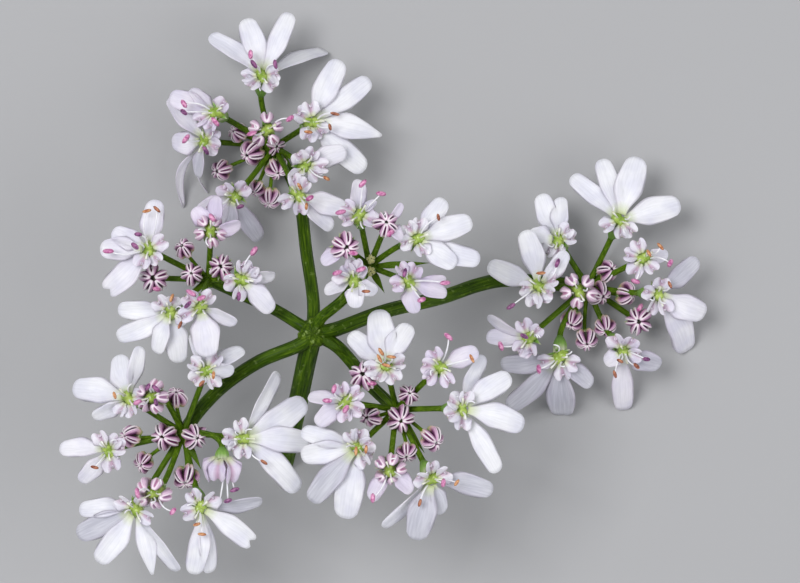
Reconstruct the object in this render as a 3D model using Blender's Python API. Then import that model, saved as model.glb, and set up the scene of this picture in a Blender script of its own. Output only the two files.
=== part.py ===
"""A cut coriander flower umbel, laid face up. Its stalk and six rays are green. Each ray ends in a
small umbel of stalks with buds, and of white blooms. Metres, +Z up. X runs to the right and Y up
the flower head as it is seen from above, and the surface that it lies on is at zero.
"""

import math

import bmesh
import bpy
from mathutils import Vector

MM = 0.001

# Driving dimensions, in millimetres
HUB_PLACE = Vector((-4.355, -2.44, 0.0))
STEM_RADIUS = 0.58
HUB_RADIUS = 0.95
STALK_RADIUS = 0.2
STALK_START = 0.2
STALK_BEND = 0.25
KNOT_RADIUS = 0.6
PETAL_THICKNESS = 0.6
SMALL_PETAL = (1.25, 1.0)
YOUNG_PETAL = (0.95, 0.85)
SMALL_PETAL_RISE = 0.3
SMALL_PETAL_STEP = math.radians(68)
PETAL_ROOT = 0.36
PETAL_LAYER = 0.1
YOUNG_PETAL_TURN = math.radians(18)
DISC_RADIUS = 0.5
DISC_FOOT_RADIUS = 0.4
DISC_HEIGHT = 0.86
STYLE_HEIGHT = 0.2
STYLE_RADIUS = 0.2
CUP_TOP = 0.73
CUP_LENGTH = 1.0
YOUNG_CUP_LENGTH = 0.6
CUP_RADIUS = 0.45
CUP_RIM_RADIUS = 0.4
CUP_SWELL = 0.35
BUD_DEPTH = 0.95
FILAMENT_LENGTH = 1.9
FILAMENT_REACH = 0.9
FILAMENT_RISE = 0.8
FILAMENT_RADIUS = 0.13
ANTHER_RADIUS = 0.22
RAY_GAP = 0.4
TOUCHING_TIP = -0.1
SURFACE = 0.0
MERGE_DISTANCE = 0.003 * MM

# Numbers of sides, of petals round a bloom and of steps in each span of a route
HUB_SIDES = 8
STEM_SIDES = 6
DISC_SIDES = 6
CUP_SIDES = 5
BUD_SIDES = 5
STALK_SIDES = 4
FILAMENT_SIDES = 3
PETAL_COUNT = 5
ROUTE_STEPS = 2

# A petal's arch as a share of its length, and its outline as shares of its length and width
PETAL_ARCH = 0.07
LONG_OUTLINE = ((0.0, 0.3), (0.7, 1.0), (1.0, 0.5))
SHORT_OUTLINE = ((0.0, 0.5), (1.0, 1.0))

# A half-open bloom's cup, as shares of its radius: height and radius of its foot, rim and top
CUP_PROFILE = ((0.0, 0.5), (0.0, 0.72), (0.5, 0.3))
STANDING_PETAL_WIDTH = 0.8
STANDING_PETAL_RISE = 0.75

# A bud's outline, as shares of its radius: distance along its axis from its middle, and radius
BUD_PROFILE = ((-0.6, 0.7), (0.0, 1.0), (0.7, 0.55))

# The knot that an umbel's stalks part from, and the hub of the rays: height and radius
KNOT_PROFILE = ((-0.3, 0.3), (0.0, KNOT_RADIUS), (0.4, 0.35))
HUB_PROFILE = ((-0.57, 0.5), (0.0, HUB_RADIUS), (0.57, 0.5))

# In place of a petal's lift: the tip comes down to the surface
LOW = "down to the surface"

# Each ray's route from the hub, each umbel's level, and its buds as x, y and radius.
# All are in millimetres from the hub, but levels are heights above the surface.
# A bloom is x, y, rise over the level, lean, petals and stamens. A number as lean tips the bloom
# away from the middle of its umbel, and a pair tips it along x and y. A petal is the x and y of
# its tip from the bloom's middle, its width and the lift of its tip. A stamen is its anther's
# x and y from there. A half-open bloom is x, y, rise and radius.
UMBELS = {
    "top": {
        "level": 3.3,
        "ray_radius": 0.36,
        "ray": (
            (0, 0, 8.0), (0.0, 2.0, 6.7), (-0.45, 5.0, 4.2),
            (-0.8, 7.7, 1.6), (-1.4, 9.4, 0.5), (-2.4, 11.3, 1.15),
        ),
        "buds": (
            (-4.6, 12.1, 0.6), (-3.7, 10.9, 0.75), (-2.3, 11.3, 0.55), (-5.6, 9.9, 0.65),
            (-2.3, 10.0, 0.7), (-3.5, 8.8, 0.55), (-2.7, 8.2, 0.7),
        ),
        "blooms": (
            (
                -3.1, 15.5, 0.2, 0.15,
                ((-3.2, 2.5, 1.0, 0.3), (-1.0, 3.5, 1.3, 0), (1.7, 3.8, 1.1, 0), (3.8, 1.6, 0.8, LOW)),
                ((-0.7, 1.3),),
            ),
            (
                -0.1, 12.7, 0.9, 0.2,
                ((1.7, 3.8, 1.4, 0.3), (3.5, 2.6, 1.2, 0), (4.2, -0.8, 1.4, 0), (3.2, -2.9, 1.4, 0)),
                ((1.4, 0.5),),
            ),
            (-0.5, 10.1, 2.0, 0.2, ((2.5, 0.9, 1.2, 0),), ((1.3, -0.8),)),
            (-0.9, 8.3, 3.0, 0, ((2.9, -0.9, 1.2, 0), (2.0, -2.1, 0.9, -0.3)), ((0.7, -0.2),)),
            (-2.8, 12.2, 1.9, 0, (), ((-0.9, -0.2),)),
            (-5.9, 13.3, 1.5, (-0.3, 0.1), ((-1.6, 1.4, 0.6, 0.3), (-2.8, 1.0, 1.2, 0)), ((-1.9, 0.5),)),
            (
                -6.6, 11.6, 0.0, (-0.3, -0.1),
                (
                    (-2.2, 2.6, 0.8, -0.6), (-2.0, -0.1, 1.3, -0.4), (-0.3, -2.2, 0.9, 0),
                    (-1.4, -4.0, 0.8, LOW), (0.1, -3.1, 0.8, LOW),
                ),
                ((-1.1, 0.1),),
            ),
            (
                -4.8, 8.3, 1.0, (-0.1, -0.5),
                ((-2.2, -1.1, 1.3, 0), (-1.1, -1.8, 0.8, 0), (-0.1, -1.9, 0.8, 0), (1.5, -2.8, 0.8, 0)),
                ((-1.4, -0.7),),
            ),
        ),
        "half_open": (),
    },
    "left": {
        "level": 9.9,
        "ray_radius": 0.33,
        "ray": ((0, 0, 8.0), (-0.8, 0.5, 7.9), (-2.3, 1.4, 7.3), (-4.1, 2.2, 6.6), (-6.3, 3.2, 6.9)),
        "buds": ((-7.7, 5.0, 0.6), (-7.2, 3.5, 0.65)),
        "blooms": (
            (
                -9.8, 5.0, 0.0, 0.2,
                ((0.4, 3.0, 1.3, 0), (-2.2, 1.1, 1.2, 0.3), (-2.9, 0.0, 1.3, 0), (-2.6, -2.6, 1.4, 0)),
                ((0.5, 2.4), (-2.4, -0.1)),
            ),
            (
                -8.5, 1.3, 0.0, 0.2,
                ((-3.2, 0.1, 1.1, 0), (-3.2, -1.6, 1.1, 0), (-0.8, -2.5, 1.0, 0), (0.5, -3.1, 1.3, 0)),
                ((0.1, 0.8),),
            ),
            (-6.7, 1.6, 2.0, 0.2, ((2.2, -1.0, 0.8, 0), (0.5, -3.0, 1.6, 0)), ((-0.5, 0.8),)),
            (-4.3, 3.2, 0.0, 0.2, ((2.1, 0.3, 0.6, 0), (1.9, -1.9, 1.2, 0)), ((0.8, 1.7),)),
            (-6.1, 6.1, 0.0, 0, (), ((0.1, 0.8),)),
        ),
        "half_open": ((-9.5, 3.3, -1.3, 0.85), (-5.5, 3.9, -1.3, 0.75)),
    },
    "lower_left": {
        "level": 10.2,
        "ray_radius": 0.39,
        "ray": (
            (0, 0, 8.0), (-0.8, -0.7, 8.0), (-3.2, -1.7, 7.7),
            (-5.3, -3.1, 7.0), (-6.8, -4.6, 6.5), (-7.8, -6.0, 7.6),
        ),
        "buds": (
            (-8.2, -3.9, 0.65), (-10.9, -6.2, 0.7), (-8.8, -6.2, 0.85),
            (-7.1, -6.2, 0.75), (-10.1, -7.7, 0.65), (-7.6, -8.6, 0.75),
        ),
        "blooms": (
            (
                -6.4, -2.3, 0.0, 0.2,
                ((-0.8, 2.3, 0.9, 0), (2.3, 1.3, 0.9, 0), (1.7, 0.1, 0.6, 0)),
                ((0.5, -0.2),),
            ),
            (
                -11.0, -3.9, 0.0, 0.2,
                ((-3.4, 0.7, 1.4, 0), (-0.6, 2.6, 1.3, 0), (0.7, 3.1, 0.6, 0), (-2.2, -1.1, 0.6, 0)),
                ((-0.8, 0.2),),
            ),
            (-9.5, -3.8, 1.2, (-0.3, 0), (), ((-0.9, -0.3),)),
            (-12.2, -7.0, 0.0, 0.2, ((-3.0, 0.1, 1.0, 0), (-1.7, -1.9, 0.9, 0)), ((-0.8, -1.0),)),
            (
                -10.6, -10.5, 0.0, 0.2,
                (
                    (-3.4, -0.1, 1.0, 0), (-3.5, -1.6, 1.3, 0), (-2.2, -3.2, 1.3, 0),
                    (1.0, -4.0, 1.1, 0), (2.6, -3.7, 0.8, 0),
                ),
                (),
            ),
            (
                -6.7, -10.4, 0.0, 0.2,
                ((3.7, 0.4, 0.8, 0), (3.2, -2.2, 1.2, 0), (-0.4, -4.0, 1.2, 0), (0.5, -4.0, 0.9, 0)),
                ((-0.2, -1.0),),
            ),
            (
                -4.2, -6.3, 0.0, 0.2,
                ((2.1, 4.0, 0.8, 0), (3.8, 2.2, 1.5, 0), (4.1, -0.2, 1.4, 0), (3.4, -3.1, 1.3, 0)),
                ((1.3, -1.4),),
            ),
            (-9.4, -9.5, 1.5, (-0.3, -0.3), (), ((1.1, -1.1),)),
        ),
        "half_open": ((-5.4, -7.9, 0.9, 0.8),),
    },
    "lower_middle": {
        "level": 11.4,
        "ray_radius": 0.37,
        "ray": ((0, 0, 8.0), (1.3, -0.7, 7.8), (2.2, -1.6, 7.4), (3.4, -3.1, 7.1), (5.0, -4.6, 8.4)),
        "buds": (
            (5.7, -3.7, 0.6), (3.5, -5.0, 0.65), (5.2, -5.1, 0.85), (7.1, -6.3, 0.75), (5.6, -7.1, 0.65),
        ),
        "blooms": (
            (
                4.4, -2.0, 0.0, 0.2,
                ((-2.2, 2.0, 1.2, 0), (-0.5, 3.4, 1.6, 0), (1.4, 2.5, 1.3, 0)),
                ((-0.4, 0.5),),
            ),
            (7.6, -2.0, 0.9, 0.2, ((2.3, 1.0, 1.1, 0),), ((0.5, 1.8),)),
            (
                8.9, -4.5, 0.0, 0.2,
                ((1.3, 3.2, 0.9, 0), (2.9, 2.0, 1.3, 0), (3.7, -1.0, 1.4, 0), (2.2, -3.8, 1.1, 0)),
                (),
            ),
            (
                7.1, -8.7, 0.0, 0.2,
                ((3.7, -0.7, 1.2, 0), (0.6, -2.1, 0.9, 0), (-1.0, -3.6, 1.7, 0), (-2.9, -2.9, 0.7, 0)),
                ((-0.7, -1.4),),
            ),
            (
                2.7, -6.8, 0.0, 0.2,
                ((-3.4, 0.9, 1.0, 0), (-3.4, -0.5, 1.3, 0), (-2.8, -3.2, 1.3, 0), (-0.8, -4.3, 1.7, 0)),
                ((0.5, -0.1),),
            ),
            (2.0, -4.1, 0.9, 0.2, ((-2.3, 0.3, 0.7, 0), (-1.8, -1.3, 1.0, 0)), ((-0.7, 0.8),)),
            (4.6, -8.1, 0.9, 0.2, ((-1.1, -1.9, 0.8, 0), (1.3, -1.4, 0.8, 0)), ((-1.0, -1.7),)),
        ),
        "half_open": ((3.05, -2.6, -1.2, 0.8),),
    },
    "right": {
        "level": 3.3,
        "ray_radius": 0.41,
        "ray": (
            (0, 0, 8.0), (1.3, 0.2, 7.8), (4.3, 1.3, 6.2), (7.6, 2.1, 4.3),
            (10.0, 2.9, 2.7), (11.8, 3.2, 1.5), (14.2, 3.0, 0.6), (16.6, 2.8, 1.15),
        ),
        "buds": (
            (17.8, 3.7, 0.65), (17.2, 2.4, 0.75), (18.9, 2.3, 0.7),
            (15.7, 0.8, 0.7), (17.6, 0.4, 0.65), (16.5, -0.4, 0.7),
        ),
        "blooms": (
            (
                18.5, 6.8, 0.0, 0.15,
                ((-2.9, 2.7, 1.1, 0), (-1.1, 3.7, 1.2, 0), (1.1, 3.8, 1.6, 0), (3.7, 1.0, 1.5, 0)),
                (),
            ),
            (14.8, 5.6, 0.0, 0.15, ((-1.1, 2.8, 1.2, 0), (0.2, 2.6, 1.0, 0), (-1.9, 0.1, 1.5, 0)), ()),
            (
                13.6, 2.8, 1.6, 0.15,
                ((-3.1, 1.3, 1.2, 0), (-0.8, 3.4, 1.3, 0), (1.7, 2.1, 0.8, 0)),
                ((1.1, 1.4),),
            ),
            (19.9, 4.5, 1.5, 0, ((1.5, 0.3, 0.8, 0),), ((-0.5, -1.4),)),
            (
                20.8, 2.4, 0.2, (0.3, -0.3),
                ((2.5, 2.0, 1.2, 0), (2.9, -1.3, 1.5, 0), (1.9, -3.5, 1.5, LOW)),
                ((0.7, 0.5),),
            ),
            (
                18.7, -1.0, 0.0, (0.1, -0.5),
                ((0.1, -3.7, 1.2, LOW), (2.3, -1.0, 1.3, 0), (-1.1, -0.8, 0.7, 0)),
                ((0.8, -1.0),),
            ),
            (
                14.9, -1.5, 0.0, (-0.1, -0.4),
                ((-3.6, -0.5, 1.2, 0), (-3.1, -3.1, 1.2, 0), (0.2, -3.5, 1.6, LOW), (1.9, -1.8, 0.8, 0)),
                ((-1.3, -0.7),),
            ),
            (13.0, -0.3, 1.2, 0.2, ((-2.6, 0.0, 0.9, 0), (-2.5, 1.3, 0.6, 0)), ((-1.7, -0.5),)),
            (16.0, 2.5, 1.5, 0, (), ()),
        ),
        "half_open": ((19.7, 0.7, -1.2, 0.85),),
    },
    "centre": {
        "level": 13.0,
        "ray_radius": 0.33,
        "ray": ((0, 0, 8.0), (0.5, 0.9, 8.5), (1.9, 2.1, 9.6), (3.4, 4.0, 10.4)),
        "buds": ((3.5, 4.4, 0.28), (3.5, 3.7, 0.3)),
        "blooms": (
            (2.8, 7.0, 0.0, 0.2, ((-0.1, 2.2, 0.8, 0), (1.0, 0.9, 0.6, 0)), ((0.2, 1.9),)),
            (
                6.2, 5.6, 0.2, 0.2,
                ((1.7, 2.4, 1.2, 0), (3.3, 1.1, 1.3, 0), (2.3, -1.6, 1.3, 0), (3.8, -1.3, 1.2, 0)),
                ((1.3, 1.3),),
            ),
            (
                2.5, 3.2, 0.0, 0.2,
                ((-1.8, -0.8, 0.6, 0), (0.1, -1.7, 1.1, 0), (1.4, -0.7, 1.0, 0)),
                ((-1.0, 0.4),),
            ),
            (
                5.7, 3.1, -0.5, 0.2,
                ((2.3, 0.1, 0.7, 0), (2.3, -0.8, 0.8, 0), (0.4, -1.9, 0.8, 0)),
                ((2.2, -0.1),),
            ),
        ),
        "half_open": ((4.4, 6.45, 1.5, 0.75), (1.9, 5.2, 1.1, 0.75)),
    },
}

STEM_ROUTE = (
    (0, 0, 8.0), (-0.45, -1.9, 6.4), (-0.9, -4.0, 4.4),
    (-1.5, -6.5, 1.8), (-1.85, -7.9, 0.0), (-2.0, -8.6, -0.9),
)

GREEN = (0.045, 0.13, 0.02)
WHITE = (0.82, 0.8, 0.86)
LILAC = (0.62, 0.5, 0.64)
PETAL_ROUGHNESS = 0.55
GREEN_ROUGHNESS = 0.5
SHARP_EDGE = math.radians(35)


def finish(name, colour, roughness):
    """A plain finish of one colour."""
    material = bpy.data.materials.new(name)
    material.use_nodes = True
    shader = material.node_tree.nodes["Principled BSDF"]
    shader.inputs["Base Color"].default_value = (*colour, 1.0)
    shader.inputs["Roughness"].default_value = roughness
    shader.inputs["Metallic"].default_value = 0.0
    return material


def loft(rings):
    """A closed piece through rings of as many points each, with flat ends. Points are in millimetres."""
    built = bmesh.new()
    loops = [[built.verts.new((HUB_PLACE + point) * MM) for point in ring] for ring in rings]
    count = len(loops[0])
    for lower, upper in zip(loops, loops[1:]):
        for i in range(count):
            following = (i + 1) % count
            built.faces.new((lower[i], lower[following], upper[following], upper[i]))
    built.faces.new(list(reversed(loops[0])))
    built.faces.new(loops[-1])
    bmesh.ops.recalc_face_normals(built, faces=built.faces)
    mesh = bpy.data.meshes.new("piece")
    built.to_mesh(mesh)
    built.free()
    return bpy.data.objects.new("piece", mesh)


def turned(foot, axis, profile, sides):
    """A piece turned about an axis. The profile is distance along the axis and radius."""
    across = axis.orthogonal().normalized()
    other = axis.cross(across).normalized()
    rings = []
    for distance, radius in profile:
        ring = []
        for i in range(sides):
            turn = 2 * math.pi * i / sides
            outward = across * math.cos(turn) + other * math.sin(turn)
            ring.append(foot + axis * distance + outward * radius)
        rings.append(ring)
    return loft(rings)


def tube(points, radii, sides):
    """A round stalk along a list of points, with a radius at each."""
    side = (points[1] - points[0]).orthogonal().normalized()
    rings = []
    for i, point in enumerate(points):
        before = points[max(i - 1, 0)]
        after = points[min(i + 1, len(points) - 1)]
        along = (after - before).normalized()
        side = (side - along * side.dot(along)).normalized()
        other = along.cross(side)
        ring = []
        for k in range(sides):
            turn = 2 * math.pi * k / sides
            ring.append(point + (side * math.cos(turn) + other * math.sin(turn)) * radii[i])
        rings.append(ring)
    return loft(rings)


def smooth_route(points, steps):
    """Points on a smooth curve that passes through the given ones."""
    ends = [points[0] * 2 - points[1], *points, points[-1] * 2 - points[-2]]
    found = []
    for a, b, c, d in zip(ends, ends[1:], ends[2:], ends[3:]):
        for k in range(steps):
            t = k / steps
            bend = 2 * a - 5 * b + 4 * c - d
            twist = 3 * b - a - 3 * c + d
            found.append((2 * b + (c - a) * t + bend * t**2 + twist * t**3) / 2)
    return [*found, points[-1]]


def blade(middle, tip, width, normal, outline, layer):
    """A petal: a thin closed strip, arched along its length and set in one of three layers."""
    root = middle + (tip - middle).normalized() * PETAL_ROOT + normal * (PETAL_LAYER * layer)
    along = tip - root
    side = along.cross(normal).normalized()
    up = side.cross(along).normalized()
    rings = []
    for share, wide in outline:
        spine = root + along * share + up * (PETAL_ARCH * along.length * math.sin(math.pi * share))
        half = side * (width * wide / 2)
        skin = up * (PETAL_THICKNESS / 2)
        rings.append([spine - half - skin, spine + half - skin, spine + half + skin, spine - half + skin])
    return loft(rings)


def joined(name, pieces, colour, roughness):
    """One node: overlapping pieces made one closed body, cut flat where it meets the surface."""
    group = bpy.data.collections.new(name + "_pieces")
    bpy.context.scene.collection.children.link(group)
    body = pieces[0]
    bpy.context.scene.collection.objects.link(body)
    for piece in pieces[1:]:
        group.objects.link(piece)
    union = body.modifiers.new("join", "BOOLEAN")
    union.operation = "UNION"
    union.operand_type = "COLLECTION"
    union.collection = group
    union.solver = "EXACT"
    graph = bpy.context.evaluated_depsgraph_get()
    mesh = bpy.data.meshes.new_from_object(body.evaluated_get(graph))
    for piece in pieces:
        bpy.data.objects.remove(piece, do_unlink=True)
    bpy.data.collections.remove(group)
    tidy(mesh)
    mesh.name = name
    mesh.materials.clear()
    mesh.materials.append(finish(name + "_finish", colour, roughness))
    mesh.shade_smooth()
    mesh.set_sharp_from_angle(angle=SHARP_EDGE)
    node = bpy.data.objects.new(name, mesh)
    bpy.context.scene.collection.objects.link(node)
    return node


def connected_faces(start):
    """All faces of the closed skin that a face belongs to."""
    found = {start}
    waiting = [start]
    while waiting:
        for edge in waiting.pop().edges:
            for face in edge.link_faces:
                if face not in found:
                    found.add(face)
                    waiting.append(face)
    return found


def fill_sealed_hollows(built):
    """Keeps only the outer skin, so that no hollow is left shut in where stalks meet."""
    left = set(built.faces)
    skins = []
    while left:
        skin = connected_faces(next(iter(left)))
        skins.append(skin)
        left -= skin
    skins.sort(key=len)
    inner = [face for skin in skins[:-1] for face in skin]
    bmesh.ops.delete(built, geom=inner, context="FACES")


def tidy(mesh):
    """Merges points that the union left almost together, and cuts the mesh flat at the surface."""
    built = bmesh.new()
    built.from_mesh(mesh)
    bmesh.ops.dissolve_degenerate(built, edges=built.edges, dist=MERGE_DISTANCE)
    fill_sealed_hollows(built)
    if min(vert.co.z for vert in built.verts) < SURFACE:
        bmesh.ops.bisect_plane(
            built,
            geom=[*built.verts, *built.edges, *built.faces],
            plane_co=(0, 0, SURFACE),
            plane_no=(0, 0, 1),
            clear_inner=True,
        )
        rim = [edge for edge in built.edges if edge.is_boundary]
        bmesh.ops.holes_fill(built, edges=rim, sides=0)
    built.to_mesh(mesh)
    built.free()


def middle_of(umbel):
    """The point of the umbel's knot, where its stalks part."""
    return Vector(umbel["ray"][-1])


def facing(umbel, x, y, lean):
    """The direction that a bloom faces."""
    if isinstance(lean, tuple):
        return Vector((*lean, 1)).normalized()
    knot = middle_of(umbel)
    outward = Vector((x - knot.x, y - knot.y, 0))
    if outward.length > 0:
        outward.normalize()
    return (outward * lean + Vector((0, 0, 1))).normalized()


def on_face(middle, normal, dx, dy):
    """The point of a bloom's plane that lies at dx, dy from its middle as seen from above."""
    return middle + Vector((dx, dy, -(normal.x * dx + normal.y * dy) / normal.z))


def small_petal_turns(petals):
    """Where the short petals stand: in the widest gap that the long ones leave."""
    if not petals:
        return [YOUNG_PETAL_TURN + 2 * math.pi * i / PETAL_COUNT for i in range(PETAL_COUNT)]
    turns = sorted(math.atan2(dy, dx) for dx, dy, _, _ in petals)
    turns.append(turns[0] + 2 * math.pi)
    start, gap = max(((a, b - a) for a, b in zip(turns, turns[1:])), key=lambda pair: pair[1])
    count = max(1, round(gap / SMALL_PETAL_STEP) - 1)
    return [start + gap * (i + 1) / (count + 1) for i in range(count)]


def stamen(middle, normal, dx, dy):
    """A thread from the bloom's middle with an anther on its end."""
    flat = math.hypot(dx, dy)
    length = max(FILAMENT_LENGTH, flat / FILAMENT_REACH)
    rise = math.sqrt(length**2 - flat**2) * FILAMENT_RISE
    anther = middle + Vector((dx, dy, rise))
    along = (anther - middle).normalized()
    points = [middle, anther, anther + along * ANTHER_RADIUS]
    return tube(points, [FILAMENT_RADIUS, ANTHER_RADIUS, FILAMENT_RADIUS], FILAMENT_SIDES)


def bloom(umbel, name, row):
    """An open bloom: its disc, long and short petals, and the stamens that reach furthest."""
    x, y, rise, lean, petals, stamens = row
    middle = Vector((x, y, umbel["level"] + rise))
    normal = facing(umbel, x, y, lean)
    half = DISC_HEIGHT / 2
    profile = ((-half, DISC_FOOT_RADIUS), (half, DISC_RADIUS), (half + STYLE_HEIGHT, STYLE_RADIUS))
    pieces = [turned(middle, normal, profile, DISC_SIDES)]
    for number, (dx, dy, width, lift) in enumerate(petals):
        layer = number % 3 - 1
        tip = on_face(middle, normal, dx, dy)
        if lift == LOW:
            tip.z = TOUCHING_TIP
        else:
            tip += normal * (PETAL_LAYER * layer) + Vector((0, 0, lift))
        pieces.append(blade(middle, tip, width, normal, LONG_OUTLINE, layer))
    length, width = SMALL_PETAL if petals else YOUNG_PETAL
    for number, turn in enumerate(small_petal_turns(petals)):
        tip = on_face(middle, normal, length * math.cos(turn), length * math.sin(turn))
        tip += normal * SMALL_PETAL_RISE
        pieces.append(blade(middle, tip, width, normal, SHORT_OUTLINE, (number + 1) % 2))
    for dx, dy in stamens:
        pieces.append(stamen(middle, normal, dx, dy))
    return joined(name, pieces, WHITE, PETAL_ROUGHNESS)


def half_open(umbel, name, row):
    """A bloom that is still a cup of five upright petals."""
    x, y, rise, radius = row
    middle = Vector((x, y, umbel["level"] + rise))
    up = Vector((0, 0, 1))
    half = DISC_HEIGHT / 2
    levels = (-half, half, half)
    profile = [(level + high * radius, wide * radius) for level, (high, wide) in zip(levels, CUP_PROFILE)]
    pieces = [turned(middle, up, profile, CUP_SIDES)]
    for i in range(PETAL_COUNT):
        turn = 2 * math.pi * i / PETAL_COUNT
        outward = Vector((math.cos(turn), math.sin(turn), 0))
        tip = middle + outward * radius + up * (radius * STANDING_PETAL_RISE)
        pieces.append(blade(middle, tip, radius * STANDING_PETAL_WIDTH, up, SHORT_OUTLINE, i % 2))
    return joined(name, pieces, LILAC, PETAL_ROUGHNESS)


def stalk_with_cup(knot, middle, normal, cup_length):
    """A bloom's stalk, and the green cup that it ends in under the bloom."""
    rim = middle - normal * CUP_TOP
    foot = rim - normal * cup_length
    bend = foot - normal * (STALK_BEND * (foot - knot).length)
    halfway = (knot + 2 * bend + foot) / 4
    start = knot + (halfway - knot).normalized() * STALK_START
    points = [start, halfway, foot, foot + normal * CUP_SWELL, rim]
    return tube(points, [STALK_RADIUS, STALK_RADIUS, STALK_RADIUS, CUP_RADIUS, CUP_RIM_RADIUS], STALK_SIDES)


def bud(knot, middle, radius):
    """A closed bud on its stalk."""
    axis = (middle - knot).normalized()
    start = knot + axis * STALK_START
    points = [start, middle - axis * radius]
    radii = [STALK_RADIUS, STALK_RADIUS]
    for distance, wide in BUD_PROFILE:
        points.append(middle + axis * (radius * distance))
        radii.append(radius * wide)
    return tube(points, radii, BUD_SIDES)


def stalks(umbel, name):
    """The green of one small umbel: the knot, the stalks with their cups, and the closed buds."""
    knot = middle_of(umbel)
    up = Vector((0, 0, 1))
    pieces = [turned(knot, up, KNOT_PROFILE, STEM_SIDES)]
    for x, y, rise, lean, _, _ in umbel["blooms"]:
        middle = Vector((x, y, umbel["level"] + rise))
        pieces.append(stalk_with_cup(knot, middle, facing(umbel, x, y, lean), CUP_LENGTH))
    for x, y, rise, _ in umbel["half_open"]:
        middle = Vector((x, y, umbel["level"] + rise))
        pieces.append(stalk_with_cup(knot, middle, up, YOUNG_CUP_LENGTH))
    for x, y, radius in umbel["buds"]:
        pieces.append(bud(knot, Vector((x, y, umbel["level"] - BUD_DEPTH - radius)), radius))
    return joined(name, pieces, GREEN, GREEN_ROUGHNESS)


def stem_and_rays():
    """The cut stalk, the knob on its end and the rays that part from it."""
    routes = [[Vector(point) for point in STEM_ROUTE]]
    radii = [STEM_RADIUS]
    for umbel in UMBELS.values():
        route = [Vector(point) for point in umbel["ray"]]
        last = route[-1] - route[-2]
        route[-1] -= last.normalized() * (KNOT_RADIUS + RAY_GAP)
        routes.append(route)
        radii.append(umbel["ray_radius"])
    hub = routes[0][0]
    up = Vector((0, 0, 1))
    pieces = [turned(hub, up, HUB_PROFILE, HUB_SIDES)]
    for route, radius in zip(routes, radii):
        points = smooth_route(route, ROUTE_STEPS)
        pieces.append(tube(points, [radius] * len(points), STEM_SIDES))
    return joined("stem_and_rays", pieces, GREEN, GREEN_ROUGHNESS)


def main():
    for thing in list(bpy.data.objects):
        bpy.data.objects.remove(thing, do_unlink=True)
    stem_and_rays()
    for place, umbel in UMBELS.items():
        stalks(umbel, place + "_stalks")
        for number, row in enumerate(umbel["blooms"], 1):
            bloom(umbel, f"{place}_bloom_{number}", row)
        for number, row in enumerate(umbel["half_open"], 1):
            half_open(umbel, f"{place}_half_open_{number}", row)


main()
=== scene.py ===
import math
import random

import bpy
import numpy as np
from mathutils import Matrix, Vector


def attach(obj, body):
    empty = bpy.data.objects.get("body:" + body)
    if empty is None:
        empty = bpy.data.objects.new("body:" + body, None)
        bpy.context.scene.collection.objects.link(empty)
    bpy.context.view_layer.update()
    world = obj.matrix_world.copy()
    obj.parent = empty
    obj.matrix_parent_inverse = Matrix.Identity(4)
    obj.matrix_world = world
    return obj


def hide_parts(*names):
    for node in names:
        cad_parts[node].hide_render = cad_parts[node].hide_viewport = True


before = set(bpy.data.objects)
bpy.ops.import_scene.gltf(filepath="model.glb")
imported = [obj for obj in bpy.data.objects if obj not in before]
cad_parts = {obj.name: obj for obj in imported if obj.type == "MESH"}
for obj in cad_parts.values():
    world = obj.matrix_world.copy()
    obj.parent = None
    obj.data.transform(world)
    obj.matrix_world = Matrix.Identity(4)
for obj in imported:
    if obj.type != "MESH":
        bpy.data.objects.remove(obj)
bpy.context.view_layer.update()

# A cut coriander flower umbel, laid face up and seen from straight above.
# Lengths are in millimetres until a mesh is made, and the floor and the lights are in metres.
# Points are measured from the hub where the rays part, with x to the right and y up the flower
# head. Heights are above the surface it lies on.
MM = 0.001
FLOOR_REACH = 3.0
HUB_PLACE = np.array((-4.355, -2.44, 0.0))

# Stem, rays and stalks
STEM_RADIUS = 0.58
STEM_SIDES = 40
STEM_STEPS = 12
STEM_RIBS = 10
STEM_RIB_DEPTH = 0.035
RAY_SIDES = 32
RAY_STEPS = 10
RAY_RIBS = 8
RAY_RIB_DEPTH = 0.05
HUB_RADIUS = 0.95
HUB_SIDES = 60
HUB_ROWS = 30
HUB_BREADTH = 0.92
HUB_HEIGHT = 0.68
HUB_OPENING = 0.08
HUB_LUMPS = (0.08, 0.06, 0.045)
STALK_RADIUS = 0.17
STALK_BEND = 0.25
STALK_SIDES = 15
STALK_RIBS = 5
RIB_DEPTH = 0.07
KNOT_PROFILE = ((-0.45, 0.32), (-0.25, 0.42), (0.0, 0.5), (0.2, 0.42), (0.35, 0.2))
KNOT_SIDES = 28
KNOT_RIBS = 7
KNOT_RIB_DEPTH = 0.1
RAY_FLARE = 0.14
RAY_FLARE_LENGTH = 1.2
OVARY_RADIUS = 0.42
OVARY_LENGTH = 1.25
YOUNG_OVARY_LENGTH = 0.85
OVARY_TOP = 0.3
OVARY_SIDES = 40
OVARY_ROWS = 9
OVARY_RIBS = 10
OUTER_LEAN = 0.5
TOOTH_LENGTH = 0.55
TOOTH_WIDTH = 0.32
TOOTH_PLACE = 0.7
TOOTH_RISE = 0.2
BRACT_WIDTH = 0.42
BRACT_ROOT = 0.3
BRACT_RISE = 0.5
RAY_BRACT = ((0.5, -0.3, 8.3), (2.0, -1.2, 8.5))
BUD_DEPTH = 0.95
TINY_BUD = 0.4
BUD_SIDES = 30
BUD_CUP = ((0.12, 0.3), (0.35, 0.52), (0.5, 0.6))
BUD_CUP_RIB_DEPTH = 0.06
BUD_TOOTH_WIDTH = 0.3
BUD_TOOTH_SHARE = 0.8
STALK_STEPS = 12
BUD_STALK_STEPS = 9

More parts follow.
